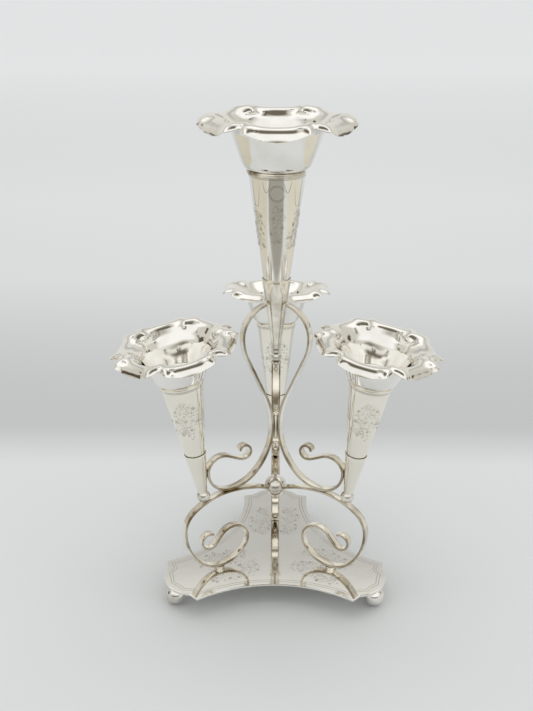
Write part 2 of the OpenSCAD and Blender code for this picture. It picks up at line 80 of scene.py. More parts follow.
# Plate outline
SHOULDER_REACH = 99.7 * MM
SHOULDER_ANGLE = math.radians(18.5)
TIP_REACH = 108.3 * MM
TIP_RADIUS = 28 * MM
SIDE_REACH = 53 * MM

# Plate mesh: shares of the edge's distance where rings lie, the bevel, and how far its round stays off the
# corner as a share of it
PLATE_RINGS = (0.0, 0.3, 0.6, 0.85)
PLATE_BEVEL = 0.45 * MM
BEVEL_ROUND = 0.3

# Sharpest angle in degrees that is shaded smooth: on the plate, on a bowl and elsewhere
PLATE_SHARP = 20.0
BOWL_SHARP = 50.0
OTHER_SHARP = 35.0

# Ball foot, and the rounded edges of a boss
FOOT_NECK_RADIUS = 4.5 * MM
FOOT_FLAT = 0.2 * MM
BOSS_LOW_EDGE = 0.3 * MM
BOSS_HIGH_EDGE = 0.8 * MM

# Leg: runs are (radius, turn in degrees, left positive), or (0, length) for a straight run
LEG_FOOT_REACH = 57 * MM
BOSS_RADIUS = 4.5 * MM
BOSS_HEIGHT = 3 * MM
LEG_RISE = [(25.7 * MM, 45), (49.2 * MM, 45), (23.7 * MM, 55), (58.4 * MM, 35)]
LEG_ROOT_RADIUS = 96 * MM
HUB_BITE = 0.7 * HUB_RADIUS
LEG_CURL = [(30.8 * MM, -45), (18.8 * MM, -45), (14 * MM, -140), (0, 11 * MM), (7.2 * MM, 265)]
ARCH_RUN = 3

# Spacing of sections along a strip, how much narrower its ends are, and the share of its thickness there
STRIP_SPACING = 0.7 * MM
END_NARROWING = 0.2
END_SHARE = 0.03

# Small socket and its ball. The bite is the share of the ball's radius, up from its middle, where the socket
# starts
SEAT_ANGLE = math.radians(22.6)
BALL_RADIUS = 5.8 * MM
TAPER = math.tan(math.radians(7.8))
SOCKET_WALL = 0.7 * MM
SOCKET_FLOOR = 3 * MM
SOCKET_BITE = 0.75
SOCKET_EDGE = 0.2 * MM
SIDE_RIM_RADIUS = 9.45 * MM
SIDE_SOCKET_LENGTH = 44 * MM
CENTRE_RIM_RADIUS = 11.9 * MM

# Arm
ARM_FOOT_RADIUS = 36 * MM
WAIST_PIN_RADIUS = 3.1 * MM
WAIST_PIN_LENGTH = 26 * MM
ARM_LOOP = [(13 * MM, 90), (15 * MM, 26), (0, 11 * MM), (12 * MM, -26), (6.2 * MM, -180), (4 * MM, -100)]
ARM_TO_SOCKET = [(76 * MM, -24.5), (0, 40.5 * MM), (44 * MM, 24.5), (26.7 * MM, 80)]

# Finial turnings from the top, as (radius, height), with the neck that shows between them
TURNINGS = [(4.4 * MM, 3.6 * MM), (3.75 * MM, 2.8 * MM), (4.7 * MM, 7 * MM), (4.4 * MM, 2.4 * MM)]
TURNING_GAP = 0.5 * MM
NECK_RADIUS = 1.1 * MM
NECK_LENGTH = 5 * MM
BEAD_RADIUS = 2.3 * MM

# Vases: (radius at the socket's rim, depth in the socket, length above it)
VASE_CLEARANCE = 0.25 * MM
VASE_WALL = 0.9 * MM
SIDE_VASE = (SIDE_RIM_RADIUS - SOCKET_WALL - VASE_CLEARANCE, 31 * MM, 70.5 * MM)
CENTRE_VASE = (CENTRE_RIM_RADIUS - SOCKET_WALL - VASE_CLEARANCE, 50 * MM, 89.2 * MM)
COLLAR_HEIGHT = 3 * MM
COLLAR_PROUD = 0.9 * MM
COLLAR_SWELL = 0.2 * MM
COLLAR_FULLNESS = 0.7
VASE_TURNS = {"rear": 0.0, "left": -10.0, "right": 10.0, "centre": 0.0}

# Bowl profiles: foot radius, wall rise, wall length, bend radius, flare rise, flare length, lip radius and
# the angle below level where a petal's lip ends
FOOT_TURN = 22.0
SIDE_PROFILE = (6 * MM, 70.0, 15.4 * MM, 20 * MM, 40.0, 3.9 * MM, 7.5 * MM, 75.0)
CENTRE_PROFILE = (8.5 * MM, 70.0, 24.8 * MM, 16 * MM, 42.0, 2.2 * MM, 9 * MM, 85.0)

# Bowl meshes: steps along each run of the profile, points round a petal, how far the lip's edge is rounded
# out as a share of the wall, and the powers by which ridges fade to the foot and the lip's corners grow
BOWL_STEPS = (6, 5, 8, 12, 18)
PETAL_POINTS = 48
LIP_EDGE = 0.35
RIDGE_FADE = 2
LIP_GROWTH = 1.5

# Engraving: width of border and spray lines, height of a line's ridge and depth of its root, the power by
# which its ends narrow, and points in a short stroke
LINE_WIDTH = 0.4 * MM
FINE_WIDTH = 0.22 * MM
LINE_RISE = 0.05 * MM
LINE_SUNK = 0.02 * MM
LINE_TAPER = 6
STROKE_POINTS = 8

# Plate border: insets of its lines, the height of their waves in the lobes, the number of waves on each side
# of a lobe's middle, and where they fade out as a share of the shoulder's angle
BORDER_INSETS = (4.2 * MM, 6.6 * MM)
BORDER_WAVE = 1.6 * MM
BORDER_WAVE_COUNT = 2.5
BORDER_WAVE_END = 1.25

# Sprays: length, width and number of twigs
PLATE_SPRAY = (46 * MM, 26 * MM, 34)
SIDE_SPRAY = (33 * MM, 25 * MM, 24)
MIDDLE_SPRAY = (32 * MM, 11 * MM, 15)
FLANK_SPRAY = (32 * MM, 13 * MM, 15)

# Place of a plate spray's head, and drops of the other sprays' heads below the collar
PLATE_SPRAY_REACH = 27 * MM
PLATE_SPRAY_ANGLE = 26
SIDE_SPRAY_DROP = 11 * MM
MIDDLE_SPRAY_DROP = 21 * MM
FLANK_SPRAY_DROP = 26 * MM

# Spray twigs: place of the first one as a share of their spacing, wave of the stem as a share of the width,
# start and run of the part of a half wave that the outline follows, and least and most of a twig's reach as a
# share of the outline, of its rise and of its fall as shares of its reach
TWIG_START = 0.6
STEM_WAVE = 0.1
OUTLINE_START = 0.2
OUTLINE_RUN = 0.7
TWIG_REACHES = (0.6, 1.0)
TWIG_RISES = (-0.2, 0.9)
TWIG_FALL = 0.9

# Spray marks: scatter of the dashes, their shortest and longest length and their bow, size of an end leaf and
# its least and greatest angle, and smallest and largest radius of a flower
DASH_SCATTER = 1.9 * MM
DASH_LENGTHS = (0.6 * MM, 1.4 * MM)
DASH_BOW = 0.5 * MM
LEAF_SIZE = (1.8 * MM, 0.9 * MM)
LEAF_ANGLES = (-2.6, -0.5)
FLOWER_RADII = (1.2 * MM, 1.7 * MM)

# Flower: number of petals, and shares of its radius for a petal's place, a petal's radius and the middle ring
FLOWER_PETALS = 5
PETAL_PLACE = 0.62
PETAL_RADIUS = 0.38
EYE_RADIUS = 0.22

# Toothed border under a collar: pitch of its teeth, and each line's drop and depth of teeth
TOOTH_PITCH = 2.2 * MM
TOOTH_LINES = ((0.6 * MM, 0), (1.0 * MM, 1.1 * MM))

# Tall vase: medallion, swags (half width, head and hang, and the power of their curve) and straps (head, run
# and sag)
MEDALLION_RADII = (6.5 * MM, 5.5 * MM)
MEDALLION_DROP = 12.5 * MM
SWAG = (4 * MM, 3 * MM, 21 * MM)
SWAG_INSET = 5.5 * MM
SWAG_POWER = 6
STRAP = (5 * MM, 7 * MM, 9 * MM)

# Heights over a small socket's rim of the dark lines painted on the vase as shadow in the gap at the rim
SEAT_SHADOW_LINES = (0.3 * MM, 0.65 * MM)

# Silver finishes: name, colour, amount of tarnish and painted shade in clouds, roughness and depth of the
# waves
FINISHES = (("plate_silver", "bright", 0.05, 0.05, 0.02 * MM),
            ("frame_silver", "worn", 0.65, 0.08, 0.02 * MM),
            ("turned_silver", "bright", 0.7, 0.06, 0.01 * MM),
            ("engraved_silver", "bright", 0.07, 0.09, 0.04 * MM),
            ("warm_silver", "worn", 0.04, 0.09, 0.04 * MM),
            ("bowl_silver", "bright", 0.15, 0.06, 0.03 * MM),
            ("aged_silver", "worn", 1.0, 0.1, 0.01 * MM),
            ("engraved_line", "engraved", 0.3, 0.3, 0.01 * MM),
            ("seat_line", "engraved", 1.0, 0.35, 0.01 * MM))

# Wear and painted shade: clouds, rubbing and waves as noise (scale, detail), the levels where clouds start
# and are full, what rubbing adds to the roughness, and where across a strip the painted dark reflection of
# its edges starts and is full, and its amount. The clouds are partly real tarnish and partly painted dark
# reflection and shade
CLOUD_NOISE = (40, 4)
CLOUD_LEVELS = (0.43, 0.7)
RUB_NOISE = (420, 3)
RUB_RANGE = (-0.02, 0.05)
WAVE_NOISE = (60, 2)
EDGE_LEVELS = (0.55, 0.85)
PAINTED_EDGE_DARKNESS = 0.5

# Reflection cards: name, two corners and colour
CARDS = (("front_card", (-0.42, -2.0), (0.34, -0.42), (0.36, 0.345, 0.3)),
         ("left_card", (-2.0, -1.6), (-0.5, 0.5), (0.64, 0.61, 0.5)),
         ("right_card", (0.5, -1.6), (2.0, 0.5), (0.71, 0.68, 0.58)))
CARD_HEIGHT = 2 * MM

# Camera at the photograph's view, for a frame of 533 by 711 pixels
CAMERA_PLACE = (-0.75 * MM, -748.9 * MM, 530.5 * MM)
CAMERA_PITCH = math.radians(22.83)
CAMERA_YAW = -0.0098
CAMERA_ROLL = 0.0015
FOCAL_PIXELS = 963.98
FRAME_HEIGHT_PIXELS = 711
SENSOR_HEIGHT = 36.0

# Floor: half its side, where its painted tone starts to change and ends, and shares of the painted shade at
# distances between
FLOOR_HALF = 30.0
FLOOR_START = 0.2
FLOOR_SPAN = 4.0
FLOOR_BANDS = ((0.29, 1.0), (0.43, 0.95), (0.57, 0.83), (0.85, 0.55), (1.4, 0.35))

# Lamps: name, kind of power, sides, place and the point that each faces
LAMPS = (("overhead", "key", (1.6, 1.2), (0.0, 0.1, 1.7), (0, 0, 0.2)),
         ("left_box", "side", (0.8, 1.2), (-1.5, -0.5, 0.9), (0, 0, 0.25)),
         ("right_box", "side", (0.8, 1.2), (1.5, -0.5, 0.9), (0, 0, 0.25)))

# Room that only reflections see: colour of each part, and the levels of a direction's Y (depth), of its Z
# (height) or of noise between which it fades in
PLAIN_LIGHT = (0.86, 0.87, 0.88, 1)
WALLS = (0.66, 0.64, 0.58, 1)
RING = ((1.1, 1.1, 1.08, 1), (0.64, 0.76), (0.94, 0.88))
SPOTS = ((0.1, 0.08, 0.055, 1), (0.54, 0.62), (-0.3, -0.1))
SPOT_NOISE = (2.6, 2.0)
WINDOW = ((1.0, 1.0, 0.98, 1), (-0.2, -0.5), (0.2, 0.4))
BACK = ((0.76, 0.75, 0.7, 1), (0.5, 0.75), (0.75, 0.65))
BACK_BAND = ((0.52, 0.52, 0.5, 1), (0.4, 0.5), (0.6, 0.565))
FRONT = ((0.24, 0.21, 0.17, 1), (-0.7, -0.9), (0.3, 0.12))
ABOVE = ((0.16, 0.14, 0.11, 1), (0.945, 0.985))

TURN = 2 * math.pi


class EpergneStrip(bpy.types.PropertyGroup):
    """Sizes of the flat strip that legs and arms are bent from."""

    width: FloatProperty(name="Width", description="Width of the strip", default=7.6 * MM, unit="LENGTH")
    thickness: FloatProperty(
        name="Thickness", description="Thickness where the strip is thickest", default=2.3 * MM,
        unit="LENGTH")
    thinning: FloatProperty(
        name="Thinning", description="Thickness lost from one bend to the next", default=0.06 * MM,
        unit="LENGTH")
    crown: FloatProperty(
        name="Crown", description="Swell of the flat faces", default=0.1 * MM, unit="LENGTH")


class EpergneBowl(bpy.types.PropertyGroup):
    """Shape of the petalled bowls."""

    petals: IntProperty(name="Petals", description="Number of petals", default=6, min=3)
    corner_share: FloatProperty(
        name="Corner Share", description="Share of the lip's drop that its corners have", default=0.35)
    lip_fullness: FloatProperty(
        name="Lip Fullness", description="How soon the lip rolls over beside a ridge", default=1.7)
    corner_reach: FloatProperty(
        name="Corner Reach", description="Distance that a lip's corners stand out", default=2 * MM,
        unit="LENGTH")
    corner_rise: FloatProperty(
        name="Corner Rise", description="Height that a lip's corners stand up", default=1 * MM, unit="LENGTH")
    notch: FloatProperty(
        name="Notch", description="Distance that the lip is pinched in between petals", default=5 * MM,
        unit="LENGTH")
    pleat_width: FloatProperty(
        name="Pleat Width", description="Width of a pinch, as a share of half a petal", default=0.16)
    ridge_height: FloatProperty(
        name="Ridge Height", description="Height of the ridges between petals", default=2.5 * MM,
        unit="LENGTH")
    ridge_width: FloatProperty(
        name="Ridge Width", description="Width of a ridge, as a share of half a petal", default=0.4)


class EpergneSilver(bpy.types.PropertyGroup):
    """Colours of the silver and its wear."""

    bright: FloatVectorProperty(
        name="Silver", description="Colour of clean silver", default=(0.93, 0.915, 0.88), subtype="COLOR")
    worn: FloatVectorProperty(
        name="Worn Silver", description="Colour of the strip's silver", default=(0.94, 0.9, 0.81),
        subtype="COLOR")
    # The tarnish colour also paints dark reflection and shade, in the clouds and along a strip's edges
    tarnish_and_shade: FloatVectorProperty(
        name="Tarnish", description="Colour of thin tarnish", default=(0.2, 0.14, 0.06), subtype="COLOR")
    engraved: FloatVectorProperty(
        name="Engraving", description="Colour of the engraved lines", default=(0.34, 0.315, 0.27),
        subtype="COLOR")


class EpergneStage(bpy.types.PropertyGroup):
    """Floor and light."""

    floor: FloatVectorProperty(
        name="Floor", description="Colour of the floor round the object", default=(0.62, 0.63, 0.62),
        subtype="COLOR")
    # The shade and far colours are painted shade and painted light on the floor
    shade: FloatVectorProperty(
        name="Shade", description="Colour of the floor's darker band", default=(0.47, 0.48, 0.47),
        subtype="COLOR")
    far: FloatVectorProperty(
        name="Far", description="Colour of the floor far away", default=(0.88, 0.89, 0.88), subtype="COLOR")
    key: FloatProperty(name="Key", description="Power of the overhead softbox", default=9.0, unit="POWER")
    side: FloatProperty(name="Side", description="Power of each side softbox", default=2.0, unit="POWER")


def unit(angle):
    """Level unit vector at an angle in degrees from +X."""
    a = math.radians(angle)
    return np.array([math.cos(a), math.sin(a), 0.0])


def walk(start, runs, spacing):
    """Points and headings along tangent arcs and straights, every spacing or less.

    A place is (distance from the axis, height, heading). An arc's centre lies a radius to the left of the
    place on a left turn, and to the right on a right turn. Returns points, headings and run numbers.
    """
    points = [np.array([[start[0], start[1]]])]
    headings = [np.array([start[2]])]
    numbers = [np.array([0.0])]
    x, z, h = start
    for i, (radius, turn) in enumerate(runs):
        if radius == 0:
            steps = max(2, math.ceil(turn / spacing))
            s = np.arange(1, steps + 1) / steps
            p = np.stack([x + turn * s * math.cos(h), z + turn * s * math.sin(h)], axis=1)
            head = np.full(steps, h)
        else:
            side = math.copysign(1, turn)
            angle = math.radians(turn)
            steps = max(2, math.ceil(abs(angle) * radius / spacing))
            s = np.arange(1, steps + 1) / steps
            cx = x - side * radius * math.sin(h)
            cz = z + side * radius * math.cos(h)
            head = h + angle * s
            p = np.stack([cx + side * radius * np.sin(head), cz - side * radius * np.cos(head)], axis=1)
        points.append(p)
        headings.append(head)
        numbers.append(i + s)
        x, z = p[-1]
        h = head[-1]
    return np.concatenate(points), np.concatenate(headings), np.concatenate(numbers)


def end_of(start, runs):
    """Last place of a walk."""
    p, h, _ = walk(start, runs, 1.0)
    return p[-1, 0], p[-1, 1], h[-1]


def arc(cx, cz, radius, first, last, steps=12):
    """Points on a circle between two angles in degrees."""
    a = np.radians(np.linspace(first, last, steps))
    return np.stack([cx + radius * np.cos(a), cz + radius * np.sin(a)], axis=1)


def grid_faces(rows, columns, wrap_rows=False):
    """Quads between neighbours of a grid whose rows are closed rings. The last row may join the first."""
    i = np.arange(rows if wrap_rows else rows - 1)
    i, j = np.meshgrid(i, np.arange(columns), indexing="ij")
    i2 = (i + 1) % rows
    j2 = (j + 1) % columns
    quads = np.stack([i * columns + j, i * columns + j2, i2 * columns + j2, i2 * columns + j], axis=-1)
    return quads.reshape(-1, 4)


def finish_piece(name, points, faces, material, body, nodes=(), sharp=OTHER_SHARP, across=None):
    """Makes the object, merges seams and poles, points faces outwards, and ties it to the frame.

    across gives each point's place across a strip, kept as the U of a UV map.
    """
    mesh = bpy.data.meshes.new(name)
    mesh.from_pydata(points.reshape(-1, 3).tolist(), [], faces.tolist())
    bm = bmesh.new()
    bm.from_mesh(mesh)
    if across is None:
        bmesh.ops.remove_doubles(bm, verts=bm.verts, dist=1e-6)
        bmesh.ops.dissolve_degenerate(bm, edges=bm.edges, dist=1e-7)
    bmesh.ops.recalc_face_normals(bm, faces=bm.faces)
    bm.to_mesh(mesh)
    bm.free()
    mesh.polygons.foreach_set("use_smooth", np.ones(len(mesh.polygons), bool))
    mesh.set_sharp_from_angle(angle=math.radians(sharp))
    if across is not None:
        corner = np.empty(len(mesh.loops), np.int32)
        mesh.loops.foreach_get("vertex_index", corner)
        u = across.ravel()[corner]
        uv = np.column_stack([u, np.zeros_like(u)])
        mesh.uv_layers.new(name="across").data.foreach_set("uv", uv.ravel())
    mesh.materials.append(material)
    piece = bpy.data.objects.new(name, mesh)
    bpy.context.scene.collection.objects.link(piece)
    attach(piece, body)
    if nodes:
        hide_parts(*nodes)
    return piece


def turned(profile, segments=128):
    """Grid of a profile of (radius, height) rows spun about Z."""
    a = np.arange(segments) * TURN / segments
    r = profile[:, 0][:, None]
    z = np.broadcast_to(profile[:, 1][:, None], (len(profile), segments))
    return np.stack([r * np.cos(a), r * np.sin(a), z], axis=-1)


def placed(points, axis, origin, turn=0.0):
    """Points with Z laid along axis and the origin moved, after a turn in degrees about Z."""
    z = np.array(axis) / np.linalg.norm(axis)
    side = np.cross([0.0, 1.0, 0.0], z)
    x = side / np.linalg.norm(side)
    y = np.cross(z, x)
    c = math.cos(math.radians(turn))
    s = math.sin(math.radians(turn))
    basis = np.stack([c * x + s * y, c * y - s * x, z])
    return points @ basis + np.array(origin)


def revolved(name, profile, material, nodes, body=FRAME_BODY, axis=(0, 0, 1), origin=(0, 0, 0)):
    """A turned piece whose profile runs from its lower pole or rim round to its upper one."""
    grid = placed(turned(profile), axis, origin)
    faces = grid_faces(*grid.shape[:2])
    return finish_piece(name, grid, faces, material, body, nodes)


def strip_section(width, thickness, crown, steps=9):
    """Half turns of a small circle joined by gently crowned faces, as (across thickness, across width)."""
    flat = (width - thickness) / 2
    a = np.linspace(-90, 90, steps)
    edge = np.stack([np.sin(np.radians(a)) / 2, np.cos(np.radians(a))], axis=1)
    right = np.stack([edge[:, 0] * thickness, flat + edge[:, 1] * thickness / 2], axis=1)
    y = np.linspace(flat, -flat, steps)[1:-1]
    top = np.stack([thickness / 2 + crown * (1 - (y / flat) ** 2), y], axis=1)
    return np.concatenate([right, top, -right, -top])


def swept_strip(path, heading, thickness, branch, strip):
    """The strip's section carried square along a path in a branch's upright plane, with rounded ends.

    Within half a thickness of an end, the section shrinks as a quarter circle does. Returns the points, and
    each one's place across the strip from -1 at one edge to 1 at the other.
    """
    u = unit(branch)
    v = np.array([-u[1], u[0], 0.0])
    up = np.array([0.0, 0.0, 1.0])
    length = np.concatenate([[0], np.cumsum(np.linalg.norm(np.diff(path, axis=0), axis=1))])
    end = np.minimum(length, length[-1] - length)
    nose = strip.thickness / 2
    close = np.sqrt(np.clip(1 - (1 - np.clip(end / nose, 0, 1)) ** 2, END_SHARE ** 2, 1))
    section = strip_section(strip.width, strip.thickness, strip.crown)
    across = section[:, 0][None] * (thickness / strip.thickness * close)[:, None]
    wide = section[:, 1][None] * (1 - END_NARROWING + END_NARROWING * close)[:, None]
    normal = np.stack([-np.sin(heading), np.cos(heading)], axis=1)
    flat = path[:, None] + across[..., None] * normal[:, None]
    return flat[..., :1] * u + wide[..., None] * v + flat[..., 1:] * up, wide / (strip.width / 2)


def strip_piece(name, chains, branch, strip, material, node):
    """A scroll walked both ways from its lowest point, as one strip that thins from bend to bend."""
    (start_a, runs_a), (start_b, runs_b) = chains
    pa, ha, na = walk(start_a, runs_a, STRIP_SPACING)
    pb, hb, nb = walk(start_b, runs_b, STRIP_SPACING)
    path = np.concatenate([pa[:0:-1], pb])
    heading = np.concatenate([ha[:0:-1] + math.pi, hb])
    number = np.concatenate([na[:0:-1], nb])
    thickness = strip.thickness - strip.thinning * number
    grid, across = swept_strip(path, heading, thickness, branch, strip)
    rows, columns = grid.shape[:2]
    quads = grid_faces(rows, columns)
    j = np.arange(columns // 2)
    ends = [np.stack([r + j, r + (j + 1), r + columns - 1 - (j + 1), r + columns - 1 - j], axis=1)[:-1]
            for r in (0, (rows - 1) * columns)]
    faces = np.concatenate([quads] + ends)
    return finish_piece(name, grid, faces, material, FRAME_BODY, [node], across=across)


def add_node(tree, kind, inputs, **settings):
    """A shader node with its settings, whose inputs each take a value or another node's output."""
    node = tree.nodes.new("ShaderNode" + kind)
    for name, value in settings.items():
        setattr(node, name, value)
    for name, value in inputs.items():
        if isinstance(value, bpy.types.NodeSocket):
            tree.links.new(value, node.inputs[name])
        else:
            node.inputs[name].default_value = value
    return node


def ramp(tree, value, levels, ends=(0.0, 1.0), kind="SMOOTHSTEP"):
    """A value's change between two ends while it goes from one level to the other."""
    inputs = {"Value": value, "From Min": levels[0], "From Max": levels[1],
              "To Min": ends[0], "To Max": ends[1]}
    return add_node(tree, "MapRange", inputs, interpolation_type=kind).outputs["Result"]


def maths(tree, operation, first, second=0.0, clamp=False):
    """Two values put together by an operation."""
    node = add_node(tree, "Math", {0: first, 1: second}, operation=operation, use_clamp=clamp)
    return node.outputs["Value"]


def blend(tree, factor, first, second):
    """One colour laid over another by a factor."""
    node = add_node(tree, "Mix", {"Factor": factor, "A": first, "B": second}, data_type="RGBA")
    return node.outputs["Result"]


def noise(tree, place, scale, detail):
    """Cloudy noise at a place."""
    return add_node(tree, "TexNoise", {"Vector": place, "Scale": scale, "Detail": detail}).outputs["Fac"]


def polish_group():
    """Wear and painted shade shared by all the silver: tarnish in clouds, painted dark reflection at edges, fine
    rubbing, and waves of hand work.

    The clouds are partly real tarnish and partly painted dark reflection and shade. The colour goes from silver
    to tarnish by the clouds times their amount, plus the painted dark reflection at the edges.
    """
    group = bpy.data.node_groups.new("silver_polish", "ShaderNodeTree")
    for side, kind, names in (
            ("INPUT", "NodeSocketColor", ("Silver", "Tarnish")),
            ("INPUT", "NodeSocketFloat", ("Tarnish Amount", "Edge Tarnish", "Base Roughness")),
            ("OUTPUT", "NodeSocketColor", ("Color",)),
            ("OUTPUT", "NodeSocketFloat", ("Roughness", "Waves"))):
        for name in names:
            group.interface.new_socket(name, in_out=side, socket_type=kind)
    given = group.nodes.new("NodeGroupInput").outputs
    out = group.nodes.new("NodeGroupOutput").inputs
    place = group.nodes.new("ShaderNodeTexCoord").outputs["Object"]
    # Clouds: partly real tarnish, partly painted dark reflection and shade
    clouds = ramp(group, noise(group, place, *CLOUD_NOISE), CLOUD_LEVELS, kind="LINEAR")
    amount = maths(group, "MULTIPLY", clouds, given["Tarnish Amount"])
    total = maths(group, "ADD", amount, given["Edge Tarnish"], clamp=True)
    rub = ramp(group, noise(group, place, *RUB_NOISE), (0.0, 1.0), RUB_RANGE, "LINEAR")
    group.links.new(blend(group, total, given["Silver"], given["Tarnish"]), out["Color"])
    group.links.new(maths(group, "ADD", rub, given["Base Roughness"]), out["Roughness"])
    group.links.new(noise(group, place, *WAVE_NOISE), out["Waves"])
    return group


def paint_edge_reflection(tree):
    """Painted dark reflection along both edges of a strip, from the U of its UV map."""
    place = add_node(tree, "UVMap", {}, uv_map="across").outputs["UV"]
    u = add_node(tree, "SeparateXYZ", {"Vector": place}).outputs["X"]
    # Painted dark reflection, growing towards both edges of the strip
    edge = ramp(tree, maths(tree, "ABSOLUTE", u), EDGE_LEVELS, (0.0, PAINTED_EDGE_DARKNESS))
    tree.links.new(edge, tree.nodes["Group"].inputs["Edge Tarnish"])


def silver(name, group, colour, tarnish_and_shade, amount, roughness, waves):
    """A polished silver material: the shared polish, with its own colour, roughness and depth of waves."""
    material = bpy.data.materials.new(name)
    material.use_nodes = True
    tree = material.node_tree
    shader = tree.nodes["Principled BSDF"]
    shader.inputs["Metallic"].default_value = 1.0
    polish = tree.nodes.new("ShaderNodeGroup")
    polish.node_tree = group
    for socket, value in (("Silver", (*colour, 1)), ("Tarnish", (*tarnish_and_shade, 1)), ("Tarnish Amount", amount),
                          ("Base Roughness", roughness)):
        polish.inputs[socket].default_value = value
    tree.links.new(polish.outputs["Color"], shader.inputs["Base Color"])
    tree.links.new(polish.outputs["Roughness"], shader.inputs["Roughness"])
    bump = add_node(tree, "Bump", {"Strength": 1.0, "Distance": waves, "Height": polish.outputs["Waves"]})
    tree.links.new(bump.outputs["Normal"], shader.inputs["Normal"])
    return material


def silvers(looks):
    """The materials by finish, made once."""
    if "silver_polish" not in bpy.data.node_groups:
        group = polish_group()
        for name, colour, amount, roughness, waves in FINISHES:
            silver("polished_" + name, group, getattr(looks, colour), looks.tarnish_and_shade, amount, roughness, waves)
        paint_edge_reflection(bpy.data.materials["polished_frame_silver"].node_tree)
    return {finish[0]: bpy.data.materials["polished_" + finish[0]] for finish in FINISHES}


def plate_radius(angle, inset=0.0):
    """Distance from the axis of the plate's edge, or of a line inside it, at an angle from a lobe's middle.

    The tip is an arc of its own circle, the shoulders lie on a circle about the axis, and each hollow side
    is an arc through two shoulder corners. The edge is whichever of lobe and hollow is nearer the axis.
    """
    third = TURN / 3
    a = np.abs((angle + third / 2) % third - third / 2)
    tip_centre = TIP_REACH - TIP_RADIUS
    reach = np.sqrt(np.clip((TIP_RADIUS - inset) ** 2 - (tip_centre * np.sin(a)) ** 2, 0, None))
    tip = np.where(reach > 0, tip_centre * np.cos(a) + reach, 0)
    corner = SHOULDER_REACH * math.cos(third / 2 - SHOULDER_ANGLE)
    centre = (SHOULDER_REACH ** 2 - SIDE_REACH ** 2) / (2 * (corner - SIDE_REACH))
    radius = centre - SIDE_REACH + inset
    off = third / 2 - a
    gap = radius ** 2 - (centre * np.sin(off)) ** 2
    hollow = np.where(gap > 0, centre * np.cos(off) - np.sqrt(np.clip(gap, 0, None)), TIP_REACH)
    return np.minimum(np.maximum(tip, SHOULDER_REACH - inset), hollow)


def plate_angles(steps=240):
    """Angles round the plate with points on both sides of every shoulder corner."""
    third = TURN / 3
    lobe = np.linspace(-SHOULDER_ANGLE, SHOULDER_ANGLE, steps // 4)
    side = np.linspace(SHOULDER_ANGLE, third - SHOULDER_ANGLE, steps // 3)[1:-1]
    one = np.concatenate([lobe, side])
    return np.concatenate([one + third * k for k in range(3)])


class EPERGNE_OT_plate(bpy.types.Operator):
    """Three-lobed plate: rings from the middle out to its edge, down over a small bevel and back below"""

    bl_idname = "epergne.plate"
    bl_label = "Plate"

    def execute(self, context):
        materials = silvers(context.scene.epergne_silver)
        a = plate_angles()
        edge = plate_radius(a)
        bevel = PLATE_BEVEL
        soft = BEVEL_ROUND * bevel
        top, bottom = PLATE_TOP, PLATE_BOTTOM
        # Each ring's share of the edge's distance, its height and its inset from there
        rings = [(share, top, 0) for share in PLATE_RINGS]
        rings += [(1, top, 3 * bevel), (1, top, bevel), (1, top - soft, soft), (1, top - bevel, 0),
                  (1, bottom + bevel, 0), (1, bottom + soft, soft), (1, bottom, bevel),
                  (0.6, bottom, 0), (0.0, bottom, 0)]
        share, z, inset = np.array(rings).T[..., None]
        r = edge * share - inset
        way = a + math.radians(BRANCHES["rear"])
        grid = np.stack([r * np.cos(way), r * np.sin(way), np.broadcast_to(z, r.shape)], axis=-1)
        finish_piece("plate", grid, grid_faces(*grid.shape[:2]), materials["plate_silver"], FRAME_BODY,
                     ["base_plate"], sharp=PLATE_SHARP)
        return {"FINISHED"}


class EPERGNE_OT_feet(bpy.types.Operator):
    """Ball feet with a flat ground spot and a short neck, and the bosses under the legs"""

    bl_idname = "epergne.feet"
    bl_label = "Feet and bosses"

    def execute(self, context):
        materials = silvers(context.scene.epergne_silver)
        low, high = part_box("foot_left")
        radius = (high.x - low.x) / 2
        neck = FOOT_NECK_RADIUS
        middle = radius - FOOT_FLAT
        start = -math.degrees(math.asin(middle / radius))
        top = math.degrees(math.acos(neck / radius))
        foot = np.concatenate([[[0, 0]], arc(0, middle, radius, start, top, 48),
                               [[neck, PLATE_BOTTOM], [0, PLATE_BOTTOM]]])
        boss_top = PLATE_TOP + BOSS_HEIGHT
        boss = np.concatenate([
            [[0, PLATE_TOP]],
            arc(BOSS_RADIUS - BOSS_LOW_EDGE, PLATE_TOP + BOSS_LOW_EDGE, BOSS_LOW_EDGE, -90, 0, 5),
            arc(BOSS_RADIUS - BOSS_HIGH_EDGE, boss_top - BOSS_HIGH_EDGE, BOSS_HIGH_EDGE, 0, 90, 7),
            [[0, boss_top]]])
        for name, branch in BRANCHES.items():
            revolved("ball_foot_" + name, foot, materials["turned_silver"], ["foot_" + name],
                     origin=unit(branch) * FOOT_REACH)
            revolved("boss_" + name, boss, materials["aged_silver"], ["leg_boss_" + name],
                     origin=unit(branch) * LEG_FOOT_REACH)
        for node in ("leg_nuts", "socket_rivets"):
            frame["nodes"][node].data.materials.clear()
            frame["nodes"][node].data.materials.append(materials["turned_silver"])
        return {"FINISHED"}


def leg_chains(strip):
    """Both ways along a leg from its lowest point, and the place of its top."""
    low = (LEG_FOOT_REACH, PLATE_TOP + BOSS_HEIGHT + SOLDER_GAP + strip.thickness / 2)
    top = end_of((*low, 0.0), LEG_RISE)
    root = (LEG_ROOT_RADIUS, math.degrees(math.asin((top[0] - HUB_BITE) / LEG_ROOT_RADIUS)))
    return [((*low, 0.0), LEG_RISE + [root]), ((*low, math.pi), LEG_CURL)], top


